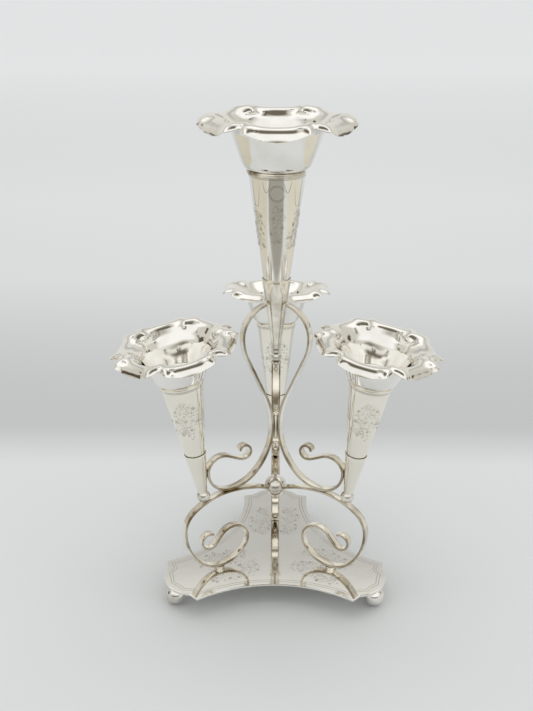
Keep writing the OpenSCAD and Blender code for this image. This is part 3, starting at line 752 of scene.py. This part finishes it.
def ball_place(strip):
    """Reach and height of a small socket's ball, square on the leg's arch."""
    _, top = leg_chains(strip)
    arch = LEG_RISE[ARCH_RUN][0]
    out = arch + (strip.thickness - ARCH_RUN * strip.thinning) / 2 + SOLDER_GAP + BALL_RADIUS
    return top[0] + out * math.sin(SEAT_ANGLE), top[1] - arch + out * math.cos(SEAT_ANGLE)


def ball_middle(strip, branch):
    """Middle of the small ball on a branch."""
    reach, height = ball_place(strip)
    return unit(branch) * reach + np.array([0, 0, height])


class EPERGNE_OT_legs(bpy.types.Operator):
    """Three legs of flat strip, from the hub over the arch, down to the boss and in to the curl"""

    bl_idname = "epergne.legs"
    bl_label = "Legs"

    def execute(self, context):
        strip = context.scene.epergne_strip
        materials = silvers(context.scene.epergne_silver)
        chains, _ = leg_chains(strip)
        for name, branch in BRANCHES.items():
            strip_piece("leg_scroll_" + name, chains, branch, strip, materials["frame_silver"], "leg_" + name)
        return {"FINISHED"}


class EPERGNE_OT_arms(bpy.types.Operator):
    """Three arms of flat strip, from the curl by a small socket in to the waist and up to the tall socket"""

    bl_idname = "epergne.arms"
    bl_label = "Arms"

    def execute(self, context):
        strip = context.scene.epergne_strip
        materials = silvers(context.scene.epergne_silver)
        _, top = leg_chains(strip)
        arch_thickness = strip.thickness - ARCH_RUN * strip.thinning
        low = (top[0], top[1] + (arch_thickness + strip.thickness) / 2 + SOLDER_GAP)
        # The first loop's radius makes the strip's outer face just touch the small socket's leaning wall,
        # which is a straight line in the branch's plane
        ball_reach, ball_z = ball_place(strip)
        lean = math.atan2(np.hypot(*LIFTS["rear_vase"][:2]), LIFTS["rear_vase"][2])
        foot_radius = SIDE_RIM_RADIUS - SIDE_SOCKET_LENGTH * TAPER
        slope = math.tan(lean - math.atan(TAPER))
        stretch = math.hypot(1, slope)
        line = (ball_reach - foot_radius * math.cos(lean)
                + (low[1] - ball_z - foot_radius * math.sin(lean)) * slope)
        touch = ((line - low[0]) / stretch - strip.thickness / 2 - SOLDER_GAP) / (1 - slope / stretch)
        # Inwards, an eighth of a turn on the foot's radius and an eighth on the rise's bring the strip
        # upright at the waist pin
        waist = WAIST_PIN_RADIUS + SOLDER_GAP + strip.thickness / 2
        half = math.radians(45)
        rise = (low[0] - ARM_FOOT_RADIUS * math.sin(half) - waist) / (1 - math.cos(half))
        inwards = [(ARM_FOOT_RADIUS, -45), (rise, -45)] + ARM_TO_SOCKET
        chains = [((*low, 0.0), [(touch, 90)] + ARM_LOOP), ((*low, math.pi), inwards)]
        for name, branch in BRANCHES.items():
            strip_piece("arm_scroll_" + name, chains, branch, strip, materials["frame_silver"], "arm_" + name)
        return {"FINISHED"}


class EPERGNE_OT_balls(bpy.types.Operator):
    """Hub ball, the balls under the small sockets, and the round-ended pin between the arms"""

    bl_idname = "epergne.balls"
    bl_label = "Balls and pin"

    def execute(self, context):
        strip = context.scene.epergne_strip
        materials = silvers(context.scene.epergne_silver)
        material = materials["turned_silver"]
        revolved("hub", arc(0, 0, HUB_RADIUS, -90, 90, 64), material, ["hub_ball"],
                 origin=(0, 0, HUB_Z))
        for name, branch in BRANCHES.items():
            revolved("socket_bead_" + name, arc(0, 0, BALL_RADIUS, -90, 90, 48), material,
                     ["socket_ball_" + name], axis=LIFTS[name + "_vase"], origin=ball_middle(strip, branch))
        low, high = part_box("waist_pin")
        flat = WAIST_PIN_LENGTH / 2 - WAIST_PIN_RADIUS
        ends = [arc(0, -flat, WAIST_PIN_RADIUS, -90, 0, 20), arc(0, flat, WAIST_PIN_RADIUS, 0, 90, 20)]
        revolved("waist_rod", np.concatenate(ends), materials["aged_silver"], ["waist_pin"],
                 origin=(0, 0, (low.z + high.z) / 2))
        return {"FINISHED"}


def socket_profile(rim, length, bottom, floor):
    """A tapered cup's wall from its foot up, over a rounded rim and down inside to its floor."""
    foot = rim - length * TAPER
    bead = SOCKET_WALL / 2
    inside = rim - SOCKET_WALL - (length - floor) * TAPER
    outer = rim - (length - bottom) * TAPER
    return np.concatenate([
        [[0, bottom], [outer, bottom], [outer + SOCKET_EDGE * TAPER, bottom + SOCKET_EDGE]],
        np.stack([np.linspace(foot + bottom * TAPER, rim, 24)[1:-1],
                  np.linspace(bottom, length - bead, 24)[1:-1]], axis=1),
        arc(rim - bead, length - bead, bead, 0, 180, 9), [[inside, floor], [0, floor]]])


class EPERGNE_OT_sockets(bpy.types.Operator):
    """Tapered cups that hold the vases, and the turned drop under the centre one"""

    bl_idname = "epergne.sockets"
    bl_label = "Sockets and finial"

    def execute(self, context):
        strip = context.scene.epergne_strip
        materials = silvers(context.scene.epergne_silver)
        small = socket_profile(SIDE_RIM_RADIUS, SIDE_SOCKET_LENGTH, SOCKET_BITE * BALL_RADIUS,
                               BALL_RADIUS + SOCKET_FLOOR)
        for name, branch in BRANCHES.items():
            revolved("small_socket_" + name, small, materials["warm_silver"],
                     ["side_socket_" + name], axis=LIFTS[name + "_vase"], origin=ball_middle(strip, branch))
        tall = socket_profile(CENTRE_RIM_RADIUS, CENTRE_RIM_Z - CENTRE_FOOT_Z, 0, 2 * SOCKET_FLOOR)
        revolved("tall_socket", tall, materials["aged_silver"], ["centre_socket"],
                 origin=(0, 0, CENTRE_FOOT_Z))
        rows = []
        z = 0.0
        for radius, depth in TURNINGS:
            bulge = depth / 2
            rows += [[[NECK_RADIUS, z]], arc(radius - bulge, z - bulge, bulge, 90, -90, 17),
                     [[NECK_RADIUS, z - depth]]]
            z -= depth + TURNING_GAP
        bead = z + TURNING_GAP - NECK_LENGTH
        rows += [arc(0, bead, BEAD_RADIUS, 60, -90, 24)]
        drop = np.concatenate([[[0, 0]]] + rows)[::-1]
        revolved("drop_finial", drop, materials["turned_silver"], ["finial"],
                 origin=(0, 0, CENTRE_FOOT_Z))
        return {"FINISHED"}


def vase_places(strip):
    """Each vase's sizes, bowl profile, axis and the point on its axis at the socket's rim."""
    places = {"centre": (CENTRE_VASE, CENTRE_PROFILE, LIFTS["centre_vase"], np.array([0, 0, CENTRE_RIM_Z]))}
    for name, branch in BRANCHES.items():
        axis = LIFTS[name + "_vase"] / np.linalg.norm(LIFTS[name + "_vase"])
        rim = ball_middle(strip, branch) + SIDE_SOCKET_LENGTH * axis
        places[name] = (SIDE_VASE, SIDE_PROFILE, axis, rim)
    return places


def top_radius(vase):
    """Radius of a vase's cone at its top."""
    return vase[0] + vase[2] * TAPER


class EPERGNE_OT_cones(bpy.types.Operator):
    """Tapered vase bodies, closed at the bottom, each with a half-round collar at the top"""

    bl_idname = "epergne.cones"
    bl_label = "Cones and collars"

    def execute(self, context):
        strip = context.scene.epergne_strip
        materials = silvers(context.scene.epergne_silver)
        for name, (vase, _, axis, rim) in vase_places(strip).items():
            low = -vase[1]
            top = top_radius(vase)
            z = np.linspace(low, vase[2], 60)
            outer = np.stack([vase[0] + z * TAPER, z], axis=1)
            inner = outer[::-1] - [VASE_WALL, 0]
            inner = inner[inner[:, 1] > low + VASE_WALL]
            floor = [[vase[0] - VASE_WALL + (low + VASE_WALL) * TAPER, low + VASE_WALL], [0, low + VASE_WALL]]
            cone = np.concatenate([[[0, low]], outer, inner, floor])
            finish = "engraved_silver" if name == "centre" else "warm_silver"
            revolved("trumpet_" + name, cone, materials[finish],
                     ["vase_cone_" + name], name + "_vase", axis, rim)
            middle = vase[2] - COLLAR_HEIGHT / 2
            inside = top - COLLAR_HEIGHT / 2 * TAPER + SOLDER_GAP
            # A collar stands out by a power of the cosine, which is fuller than a half round
            a = np.radians(np.linspace(-90, 90, 25))
            band = np.stack([inside + (COLLAR_PROUD + COLLAR_SWELL) * np.cos(a) ** COLLAR_FULLNESS,
                             middle + COLLAR_HEIGHT / 2 * np.sin(a)], axis=1)
            back = np.array([[inside, middle + COLLAR_HEIGHT / 2], [inside, middle - COLLAR_HEIGHT / 2]])
            ring = np.concatenate([band, back])
            grid = placed(turned(ring), axis, rim)
            finish = "aged_silver" if name == "centre" else "warm_silver"
            finish_piece("band_" + name, grid, grid_faces(*grid.shape[:2], wrap_rows=True),
                         materials[finish], name + "_vase", ["collar_" + name])
        return {"FINISHED"}


def bowl_skin(start, profile, bowl, angles, steps):
    """Rings of a bowl's outer skin as radius, height and heading, for every level and angle.

    The profile is a foot arc, a straight wall, an arc that bends out, a straight flare and a rolled lip. The
    lip has the same length all round. It turns to the full drop at a petal's middle and to a share of it at a
    ridge, so its radius is its length over its turn. The ridges between petals are raised inwards along the
    profile's normal, fading by a power to nothing at the foot. The lip is pinched in at each ridge, and its
    corners beside the pinch stand out and up. Ridge, pinch and corners are bell curves across a petal.
    """
    foot, wall, wall_run, bend, flare, flare_run, lip_radius, drop = profile
    runs = [(foot, wall - FOOT_TURN), (0, wall_run), (bend, flare - wall), (0, flare_run)]
    rows = [np.array([start])]
    for (radius, turn), count in zip(runs, steps):
        place = tuple(rows[-1][-1])
        span = turn if radius == 0 else abs(math.radians(turn)) * radius
        # A touch over the even spacing, so that rounding adds no step
        p, h, _ = walk(place, [(radius, turn)], span / count * 1.0001)
        rows.append(np.column_stack([p, h])[1:])
    body = np.concatenate(rows)
    half = math.pi / bowl.petals
    away = 1 - np.abs(angles % (2 * half) - half) / half
    body = np.broadcast_to(body[:, None], (len(body), len(angles), 3))
    rise = body[-1, 0, 2]
    drop = math.radians(drop)
    turn = rise + drop * (1 - (1 - bowl.corner_share) * (1 - away) ** bowl.lip_fullness)
    radius = lip_radius * (rise + drop) / turn
    share = (np.arange(steps[-1]) + 1)[:, None] / steps[-1]
    head = rise - turn * share
    r = body[-1, :, 0] + radius * (math.sin(rise) - np.sin(head))
    z = body[-1, :, 1] + radius * (np.cos(head) - math.cos(rise))
    p = np.concatenate([body, np.stack([r, z, head], axis=-1)])
    level = np.arange(len(p))[:, None]
    flare_level = sum(steps[:3])
    fade = np.clip((level - steps[0]) / (flare_level + steps[3] - steps[0]), 0, 1) ** RIDGE_FADE
    lip = np.clip((level - flare_level) / (len(p) - 1 - flare_level), 0, 1) ** LIP_GROWTH
    raised = bowl.ridge_height * fade * (1 - lip) * np.exp(-(away / bowl.ridge_width) ** 2)
    pinch = bowl.notch * lip * np.exp(-(away / bowl.pleat_width) ** 2)
    corner = lip * np.exp(-((away - 2 * bowl.pleat_width) / bowl.pleat_width) ** 2)
    out = p[..., 0] - raised * np.sin(p[..., 2]) - pinch + bowl.corner_reach * corner
    up = p[..., 1] + raised * np.cos(p[..., 2]) + bowl.corner_rise * corner
    return np.stack([out, up, p[..., 2]], axis=-1)


class EPERGNE_OT_bowls(bpy.types.Operator):
    """Petalled bowls: an outer and an inner skin of rings, joined over a rounded edge"""

    bl_idname = "epergne.bowls"
    bl_label = "Bowls"

    def execute(self, context):
        bowl = context.scene.epergne_bowl
        materials = silvers(context.scene.epergne_silver)
        count = bowl.petals * PETAL_POINTS
        a = np.arange(count) * TURN / count
        for name, (vase, profile, axis, rim) in vase_places(context.scene.epergne_strip).items():
            start = (top_radius(vase), 0.0, math.radians(FOOT_TURN))
            skin = bowl_skin(start, profile, bowl, a, BOWL_STEPS)
            r, z, head = np.moveaxis(skin, -1, 0)
            inner_r = r - VASE_WALL * np.sin(head)
            inner_z = z + VASE_WALL * np.cos(head)
            inner_r[0] = start[0] - VASE_WALL
            inner_z[0] = 0.0
            edge_r = (r[-1] + inner_r[-1]) / 2 + LIP_EDGE * VASE_WALL * np.cos(head[-1])
            edge_z = (z[-1] + inner_z[-1]) / 2 + LIP_EDGE * VASE_WALL * np.sin(head[-1])
            all_r = np.concatenate([r, edge_r[None], inner_r[::-1]])
            all_z = np.concatenate([z, edge_z[None], inner_z[::-1]]) + vase[2] + SOLDER_GAP
            grid = np.stack([all_r * np.cos(a), all_r * np.sin(a), all_z], axis=-1)
            branch = BRANCHES.get(name, 0.0)
            grid = placed(grid, axis, rim, VASE_TURNS[name] + branch)
            finish_piece("petal_bowl_" + name, grid, grid_faces(*grid.shape[:2], wrap_rows=True),
                         materials["bowl_silver"], name + "_vase", ["bowl_" + name],
                         sharp=BOWL_SHARP)
        return {"FINISHED"}


def leaf(base, angle, length, width):
    """Two strokes from a leaf's base to its tip, bowed apart by half a sine wave."""
    u = np.linspace(0, 1, STROKE_POINTS)[:, None]
    ahead = np.array([math.cos(angle), math.sin(angle)])
    side = np.array([-math.sin(angle), math.cos(angle)])
    bow = width / 2 * np.sin(math.pi * u)
    return [base + length * u * ahead + sign * bow * side for sign in (-1, 1)]


def loop(middle, radius):
    """A circle as one stroke."""
    a = np.linspace(0, TURN, STROKE_POINTS)
    return np.array(middle) + radius * np.stack([np.cos(a), np.sin(a)], axis=1)


def flower(middle, radius, turn):
    """Round petals evenly about a small ring."""
    ways = turn + np.arange(FLOWER_PETALS) * TURN / FLOWER_PETALS
    out = PETAL_PLACE * radius * np.stack([np.cos(ways), np.sin(ways)], axis=1)
    return [loop(middle + o, PETAL_RADIUS * radius) for o in out] + [loop(middle, EYE_RADIUS * radius)]


def spray(height, spread, twigs, seed):
    """A hanging spray: dashes scattered along bent twigs, with a flower at every third twig's end.

    The other twigs end in a leaf. They leave a waved stem on both sides in turn, and each rises by its share
    and falls by the square of its run. Only the root of a twig is drawn as a line. The stem isn't.
    """
    draw = np.random.default_rng(seed)
    u = np.linspace(0, 1, 2 * STROKE_POINTS)
    stem = np.stack([STEM_WAVE * spread * np.sin(TURN * u), -height * u], axis=1)
    v = np.linspace(0, 1, STROKE_POINTS)
    strokes = []
    for k in range(twigs):
        share = (k + TWIG_START) / twigs
        base = np.array([np.interp(share, u, stem[:, 0]), -height * share])
        side = 1 if k % 2 else -1
        outline = math.sin(math.pi * (OUTLINE_START + OUTLINE_RUN * share))
        reach = spread / 2 * outline * draw.uniform(*TWIG_REACHES)
        rise = draw.uniform(*TWIG_RISES)
        twig = base + np.stack([side * reach * v, reach * (rise * v - TWIG_FALL * v ** 2)], axis=1)
        strokes.append(twig[:STROKE_POINTS // 3 + 1])
        for at in np.repeat(twig[:-1], 2, axis=0):
            at = at + draw.uniform(-DASH_SCATTER, DASH_SCATTER, 2)
            strokes.append(leaf(at, draw.uniform(0, TURN), draw.uniform(*DASH_LENGTHS), DASH_BOW)[0])
        if k % 3 == 1:
            strokes += flower(twig[-1], draw.uniform(*FLOWER_RADII), draw.uniform(0, TURN))
        else:
            strokes += leaf(twig[-1], draw.uniform(*LEAF_ANGLES), *LEAF_SIZE)
    return strokes


def moved(strokes, place, turn=0.0):
    """Strokes turned by an angle and moved."""
    c = math.cos(turn)
    s = math.sin(turn)
    return [p @ np.array([[c, s], [-s, c]]) + np.array(place) for p in strokes]


def engraved(name, bold, fine, onto, material, body, slot):
    """Bold and fine lines as shallow ridges on a surface: flat diamonds that narrow to points at the ends.

    onto(points, rise) lays pattern points on the surface, at a height over it. A line's width and height go
    by the root of one less a power of the place along it, from -1 to 1.
    """
    points = []
    faces = []
    count = 0
    for width, path in [(LINE_WIDTH, p) for p in bold] + [(FINE_WIDTH, p) for p in fine]:
        along = np.gradient(path, axis=0)
        along = along / np.linalg.norm(along, axis=1)[:, None]
        side = np.stack([-along[:, 1], along[:, 0]], axis=1)
        share = np.linspace(-1, 1, len(path))
        narrow = np.sqrt(np.clip(1 - share ** LINE_TAPER, 0, 1))
        half = (width / 2 * narrow)[:, None] * side
        level = np.zeros(len(path))
        grid = np.stack([onto(path - half, level), onto(path, LINE_RISE * narrow), onto(path + half, level),
                         onto(path, -LINE_SUNK * narrow)], axis=1)
        points.append(grid.reshape(-1, 3))
        faces.append(grid_faces(len(path), 4) + count)
        count += 4 * len(path)
    finish_piece(name, np.concatenate(points), np.concatenate(faces), material, body)


def on_plate(points, rise):
    """Pattern points on the plate's upper face, at a height over it."""
    return np.column_stack([points, PLATE_TOP + rise])


def on_cone(vase, axis, rim, facing):
    """Returns a function that lays points (along the girth, up from the cone's top) on a vase's cone."""
    def lay(points, rise):
        z = vase[2] + points[:, 1]
        r = vase[0] + z * TAPER
        a = facing + points[:, 0] / r
        return placed(np.column_stack([(r + rise) * np.cos(a), (r + rise) * np.sin(a), z]), axis, rim)
    return lay


class EPERGNE_OT_plate_engraving(bpy.types.Operator):
    """Border lines round the plate, waved in the lobes, and sprays on both sides of each leg"""

    bl_idname = "epergne.plate_engraving"
    bl_label = "Plate engraving"

    def execute(self, context):
        materials = silvers(context.scene.epergne_silver)
        third = TURN / 3
        borders = []
        sprays = []
        for k, branch in enumerate(BRANCHES.values()):
            lobe = math.radians(branch)
            a = np.linspace(-third / 2, third / 2, 260)
            inside = np.clip(1 - (a / (BORDER_WAVE_END * SHOULDER_ANGLE)) ** 2, 0, 1)
            wave = BORDER_WAVE * inside * np.abs(np.sin(BORDER_WAVE_COUNT * math.pi * a / SHOULDER_ANGLE))
            for inset in BORDER_INSETS:
                r = plate_radius(a, inset + wave)
                borders.append(np.stack([r * np.cos(a + lobe), r * np.sin(a + lobe)], axis=1))
            for side in (-1, 1):
                away = unit(branch + side * PLATE_SPRAY_ANGLE)[:2] * PLATE_SPRAY_REACH
                sprays += moved(spray(*PLATE_SPRAY, 3 * k + side + 1), away, lobe + math.pi / 2)
        engraved("plate_lines", borders, sprays, on_plate, materials["engraved_line"], FRAME_BODY,
                 "plate_silver")
        return {"FINISHED"}


class EPERGNE_OT_vase_engraving(bpy.types.Operator):
    """Toothed border under each collar, and medallions, swags and sprays round the cones"""

    bl_idname = "epergne.vase_engraving"
    bl_label = "Vase engraving"

    def execute(self, context):
        materials = silvers(context.scene.epergne_silver)
        for name, (vase, _, axis, rim) in vase_places(context.scene.epergne_strip).items():
            girth = TURN * top_radius(vase)
            low = -COLLAR_HEIGHT
            round_third = np.linspace(-girth / 6, girth / 6, 90)
            teeth = np.abs(np.sin(math.pi * round_third / TOOTH_PITCH))
            rings = [np.column_stack([round_third, low - drop - depth * teeth])
                     for drop, depth in TOOTH_LINES]
            for k in range(3):
                bold, fine = self.panel(girth / 3, low, name == "centre", k)
                engraved("%s_lines_%d" % (name, k + 1), rings + bold, fine,
                         on_cone(vase, axis, rim, math.radians(-90 + 120 * k)), materials["engraved_line"],
                         name + "_vase", "engraved_silver")
            if name != "centre":
                # Dark lines on the vase just over the small socket's rim are painted shadow in the gap at the rim
                a = np.linspace(0, TURN * vase[0], 181)
                seat_shadows = [np.column_stack([a, np.full_like(a, rise - vase[2])]) for rise in SEAT_SHADOW_LINES]
                engraved(name + "_seat_line", seat_shadows, [], on_cone(vase, axis, rim, math.radians(90)),
                         materials["seat_line"], name + "_vase", "engraved_silver")
        return {"FINISHED"}

    def panel(self, width, low, tall, seed):
        """Bold and fine strokes of a third of a cone: sprays, and on the tall vase a medallion and swags."""
        if not tall:
            return [], moved(spray(*SIDE_SPRAY, 20 + seed), (0, low - SIDE_SPRAY_DROP))
        u = np.linspace(0, 1, 4 * STROKE_POINTS)
        bow = np.linspace(-1, 1, len(u))
        bold = [np.stack([r * np.cos(TURN * u), low - MEDALLION_DROP + r * np.sin(TURN * u)], axis=1)
                for r in MEDALLION_RADII]
        fine = moved(spray(*MIDDLE_SPRAY, 30 + seed), (0, low - MIDDLE_SPRAY_DROP))
        half, head, hang = SWAG
        start, run, sag = STRAP
        for side in (-1, 1):
            middle = side * (width / 2 - SWAG_INSET)
            bold.append(np.column_stack([middle + half * bow, low - head - hang * (1 - bow ** SWAG_POWER)]))
            bold.append(np.column_stack([side * (start + run * u), low - head - sag * np.sin(math.pi * u)]))
            fine += moved(spray(*FLANK_SPRAY, 40 + seed + 5 * side), (middle, low - FLANK_SPRAY_DROP))
        return bold, fine


class EPERGNE_OT_stage(bpy.types.Operator):
    """Pale floor, soft light and the camera"""

    bl_idname = "epergne.stage"
    bl_label = "Stage"

    def execute(self, context):
        looks = context.scene.epergne_stage
        mesh = bpy.data.meshes.new("floor")
        half = FLOOR_HALF
        corners = [(-half, -half, 0), (half, -half, 0), (half, half, 0), (-half, half, 0)]
        mesh.from_pydata(corners, [], [(0, 1, 2, 3)])
        floor = bpy.data.objects.new("floor", mesh)
        context.scene.collection.objects.link(floor)
        mesh.materials.append(floor_material(looks))
        for name, low, high, colour in CARDS:
            card = card_object(name, low, high, colour)
            context.scene.collection.objects.link(card)
        world = bpy.data.worlds.new("studio")
        context.scene.world = world
        studio_world(world)
        for name, power, size, place, target in LAMPS:
            lamp = bpy.data.lights.new(name, "AREA")
            lamp.shape = "RECTANGLE"
            lamp.size, lamp.size_y = size
            lamp.energy = getattr(looks, power)
            softbox = bpy.data.objects.new(name, lamp)
            softbox.location = place
            softbox.rotation_euler = (Vector(target) - Vector(place)).to_track_quat("-Z", "Y").to_euler()
            softbox.visible_glossy = False
            context.scene.collection.objects.link(softbox)
        camera = bpy.data.cameras.new("camera")
        camera.sensor_fit = "VERTICAL"
        camera.sensor_height = SENSOR_HEIGHT
        camera.lens = FOCAL_PIXELS / FRAME_HEIGHT_PIXELS * SENSOR_HEIGHT
        eye = bpy.data.objects.new("camera", camera)
        level = math.cos(CAMERA_PITCH)
        ahead = Vector((math.sin(CAMERA_YAW) * level, math.cos(CAMERA_YAW) * level, -math.sin(CAMERA_PITCH)))
        turn = ahead.to_track_quat("-Z", "Y").to_matrix().to_4x4()
        eye.matrix_world = Matrix.Translation(CAMERA_PLACE) @ turn @ Matrix.Rotation(CAMERA_ROLL, 4, "Z")
        context.scene.collection.objects.link(eye)
        context.scene.camera = eye
        context.scene.view_settings.view_transform = "Standard"
        return {"FINISHED"}


def card_object(name, low, high, colour):
    """Flat card just over the floor, out of the picture, that only the silver reflects."""
    mesh = bpy.data.meshes.new(name)
    z = CARD_HEIGHT
    corners = [(low[0], low[1], z), (high[0], low[1], z), (high[0], high[1], z), (low[0], high[1], z)]
    mesh.from_pydata(corners, [], [(0, 1, 2, 3)])
    material = bpy.data.materials.new(name)
    material.use_nodes = True
    shader = material.node_tree.nodes["Principled BSDF"]
    shader.inputs["Base Color"].default_value = (0, 0, 0, 1)
    shader.inputs["Specular IOR Level"].default_value = 0.0
    shader.inputs["Emission Color"].default_value = (*colour, 1)
    shader.inputs["Emission Strength"].default_value = 1.0
    mesh.materials.append(material)
    card = bpy.data.objects.new(name, mesh)
    card.visible_camera = False
    card.visible_diffuse = False
    card.visible_shadow = False
    return card


def floor_material(looks):
    """Pale floor with a band of painted shade behind the object, and lighter far away as painted light.

    Its tone goes by distance behind the axis, and each band's colour is mixed from shade and far.
    """
    material = bpy.data.materials.new("pale_floor")
    material.use_nodes = True
    tree = material.node_tree
    shader = tree.nodes["Principled BSDF"]
    shader.inputs["Roughness"].default_value = 0.9
    shader.inputs["Specular IOR Level"].default_value = 0.0
    place = tree.nodes.new("ShaderNodeTexCoord").outputs["Object"]
    depth = add_node(tree, "SeparateXYZ", {"Vector": place}).outputs["Y"]
    tones = add_node(tree, "ValToRGB", {"Fac": maths(tree, "DIVIDE", depth, FLOOR_SPAN)})
    stops = tones.color_ramp.elements
    stops[0].position = FLOOR_START / FLOOR_SPAN
    stops[0].color = (*looks.floor, 1)
    stops[1].position = 1.0
    stops[1].color = (*looks.far, 1)
    for distance, level in FLOOR_BANDS:
        band = stops.new(distance / FLOOR_SPAN)
        band.color = (*(level * np.array(looks.shade) + (1 - level) * np.array(looks.far)), 1)
    tree.links.new(tones.outputs["Color"], shader.inputs["Base Color"])
    return material


def studio_world(world):
    """Pale room that only reflections see, and plain even light for everything else.

    The room's colour is mixed by direction, each part over the last: warm pale walls with a white ring high
    up, dark spots to the sides and back, a white window over the front, a dimmer banded back, a dim low front
    and a dark patch straight above.
    """
    world.use_nodes = True
    tree = world.node_tree
    place = tree.nodes.new("ShaderNodeTexCoord").outputs["Generated"]
    split = add_node(tree, "SeparateXYZ", {"Vector": place})
    depth = split.outputs["Y"]
    up = split.outputs["Z"]

    def over(room, part, first, second):
        """The room with a part's colour laid over it where both of its values are past their levels."""
        colour, first_levels, second_levels = part
        share = maths(tree, "MULTIPLY", ramp(tree, first, first_levels), ramp(tree, second, second_levels))
        return blend(tree, share, room, colour)

    room = over(WALLS, RING, up, up)
    room = over(room, SPOTS, noise(tree, place, *SPOT_NOISE), depth)
    room = over(room, WINDOW, depth, up)
    back = over(BACK[0], BACK_BAND, up, up)
    room = over(room, (back, *BACK[1:]), depth, up)
    room = over(room, FRONT, depth, up)
    room = blend(tree, ramp(tree, up, ABOVE[1]), room, ABOVE[0])
    glossy = tree.nodes.new("ShaderNodeLightPath").outputs["Is Glossy Ray"]
    background = tree.nodes["Background"]
    tree.links.new(blend(tree, glossy, PLAIN_LIGHT, room), background.inputs["Color"])
    background.inputs["Strength"].default_value = 1.0


class EPERGNE_PT_panel(bpy.types.Panel):
    """Sidebar list of the pieces"""

    bl_idname = "EPERGNE_PT_panel"
    bl_label = "Epergne"
    bl_space_type = "VIEW_3D"
    bl_region_type = "UI"
    bl_category = "Epergne"

    def draw(self, context):
        for piece in OPERATORS:
            self.layout.operator(piece.bl_idname)


OPERATORS = (EPERGNE_OT_plate, EPERGNE_OT_feet, EPERGNE_OT_legs, EPERGNE_OT_balls, EPERGNE_OT_arms,
             EPERGNE_OT_sockets, EPERGNE_OT_cones, EPERGNE_OT_bowls, EPERGNE_OT_plate_engraving,
             EPERGNE_OT_vase_engraving, EPERGNE_OT_stage)
GROUPS = {"epergne_strip": EpergneStrip, "epergne_bowl": EpergneBowl, "epergne_silver": EpergneSilver,
          "epergne_stage": EpergneStage}


def register():
    """Registers the classes and hangs the property groups on the scene."""
    for cls in (*GROUPS.values(), *OPERATORS, EPERGNE_PT_panel):
        bpy.utils.register_class(cls)
    for name, cls in GROUPS.items():
        setattr(bpy.types.Scene, name, PointerProperty(type=cls))


def unregister():
    """Undoes register."""
    for name in GROUPS:
        delattr(bpy.types.Scene, name)
    for cls in reversed((*GROUPS.values(), *OPERATORS, EPERGNE_PT_panel)):
        bpy.utils.unregister_class(cls)


def main():
    register()
    bpy.ops.epergne.plate()
    bpy.ops.epergne.feet()
    bpy.ops.epergne.legs()
    bpy.ops.epergne.balls()
    bpy.ops.epergne.arms()
    bpy.ops.epergne.sockets()
    bpy.ops.epergne.cones()
    bpy.ops.epergne.bowls()
    bpy.ops.epergne.plate_engraving()
    bpy.ops.epergne.vase_engraving()
    bpy.ops.epergne.stage()


if __name__ == "__main__":
    main()
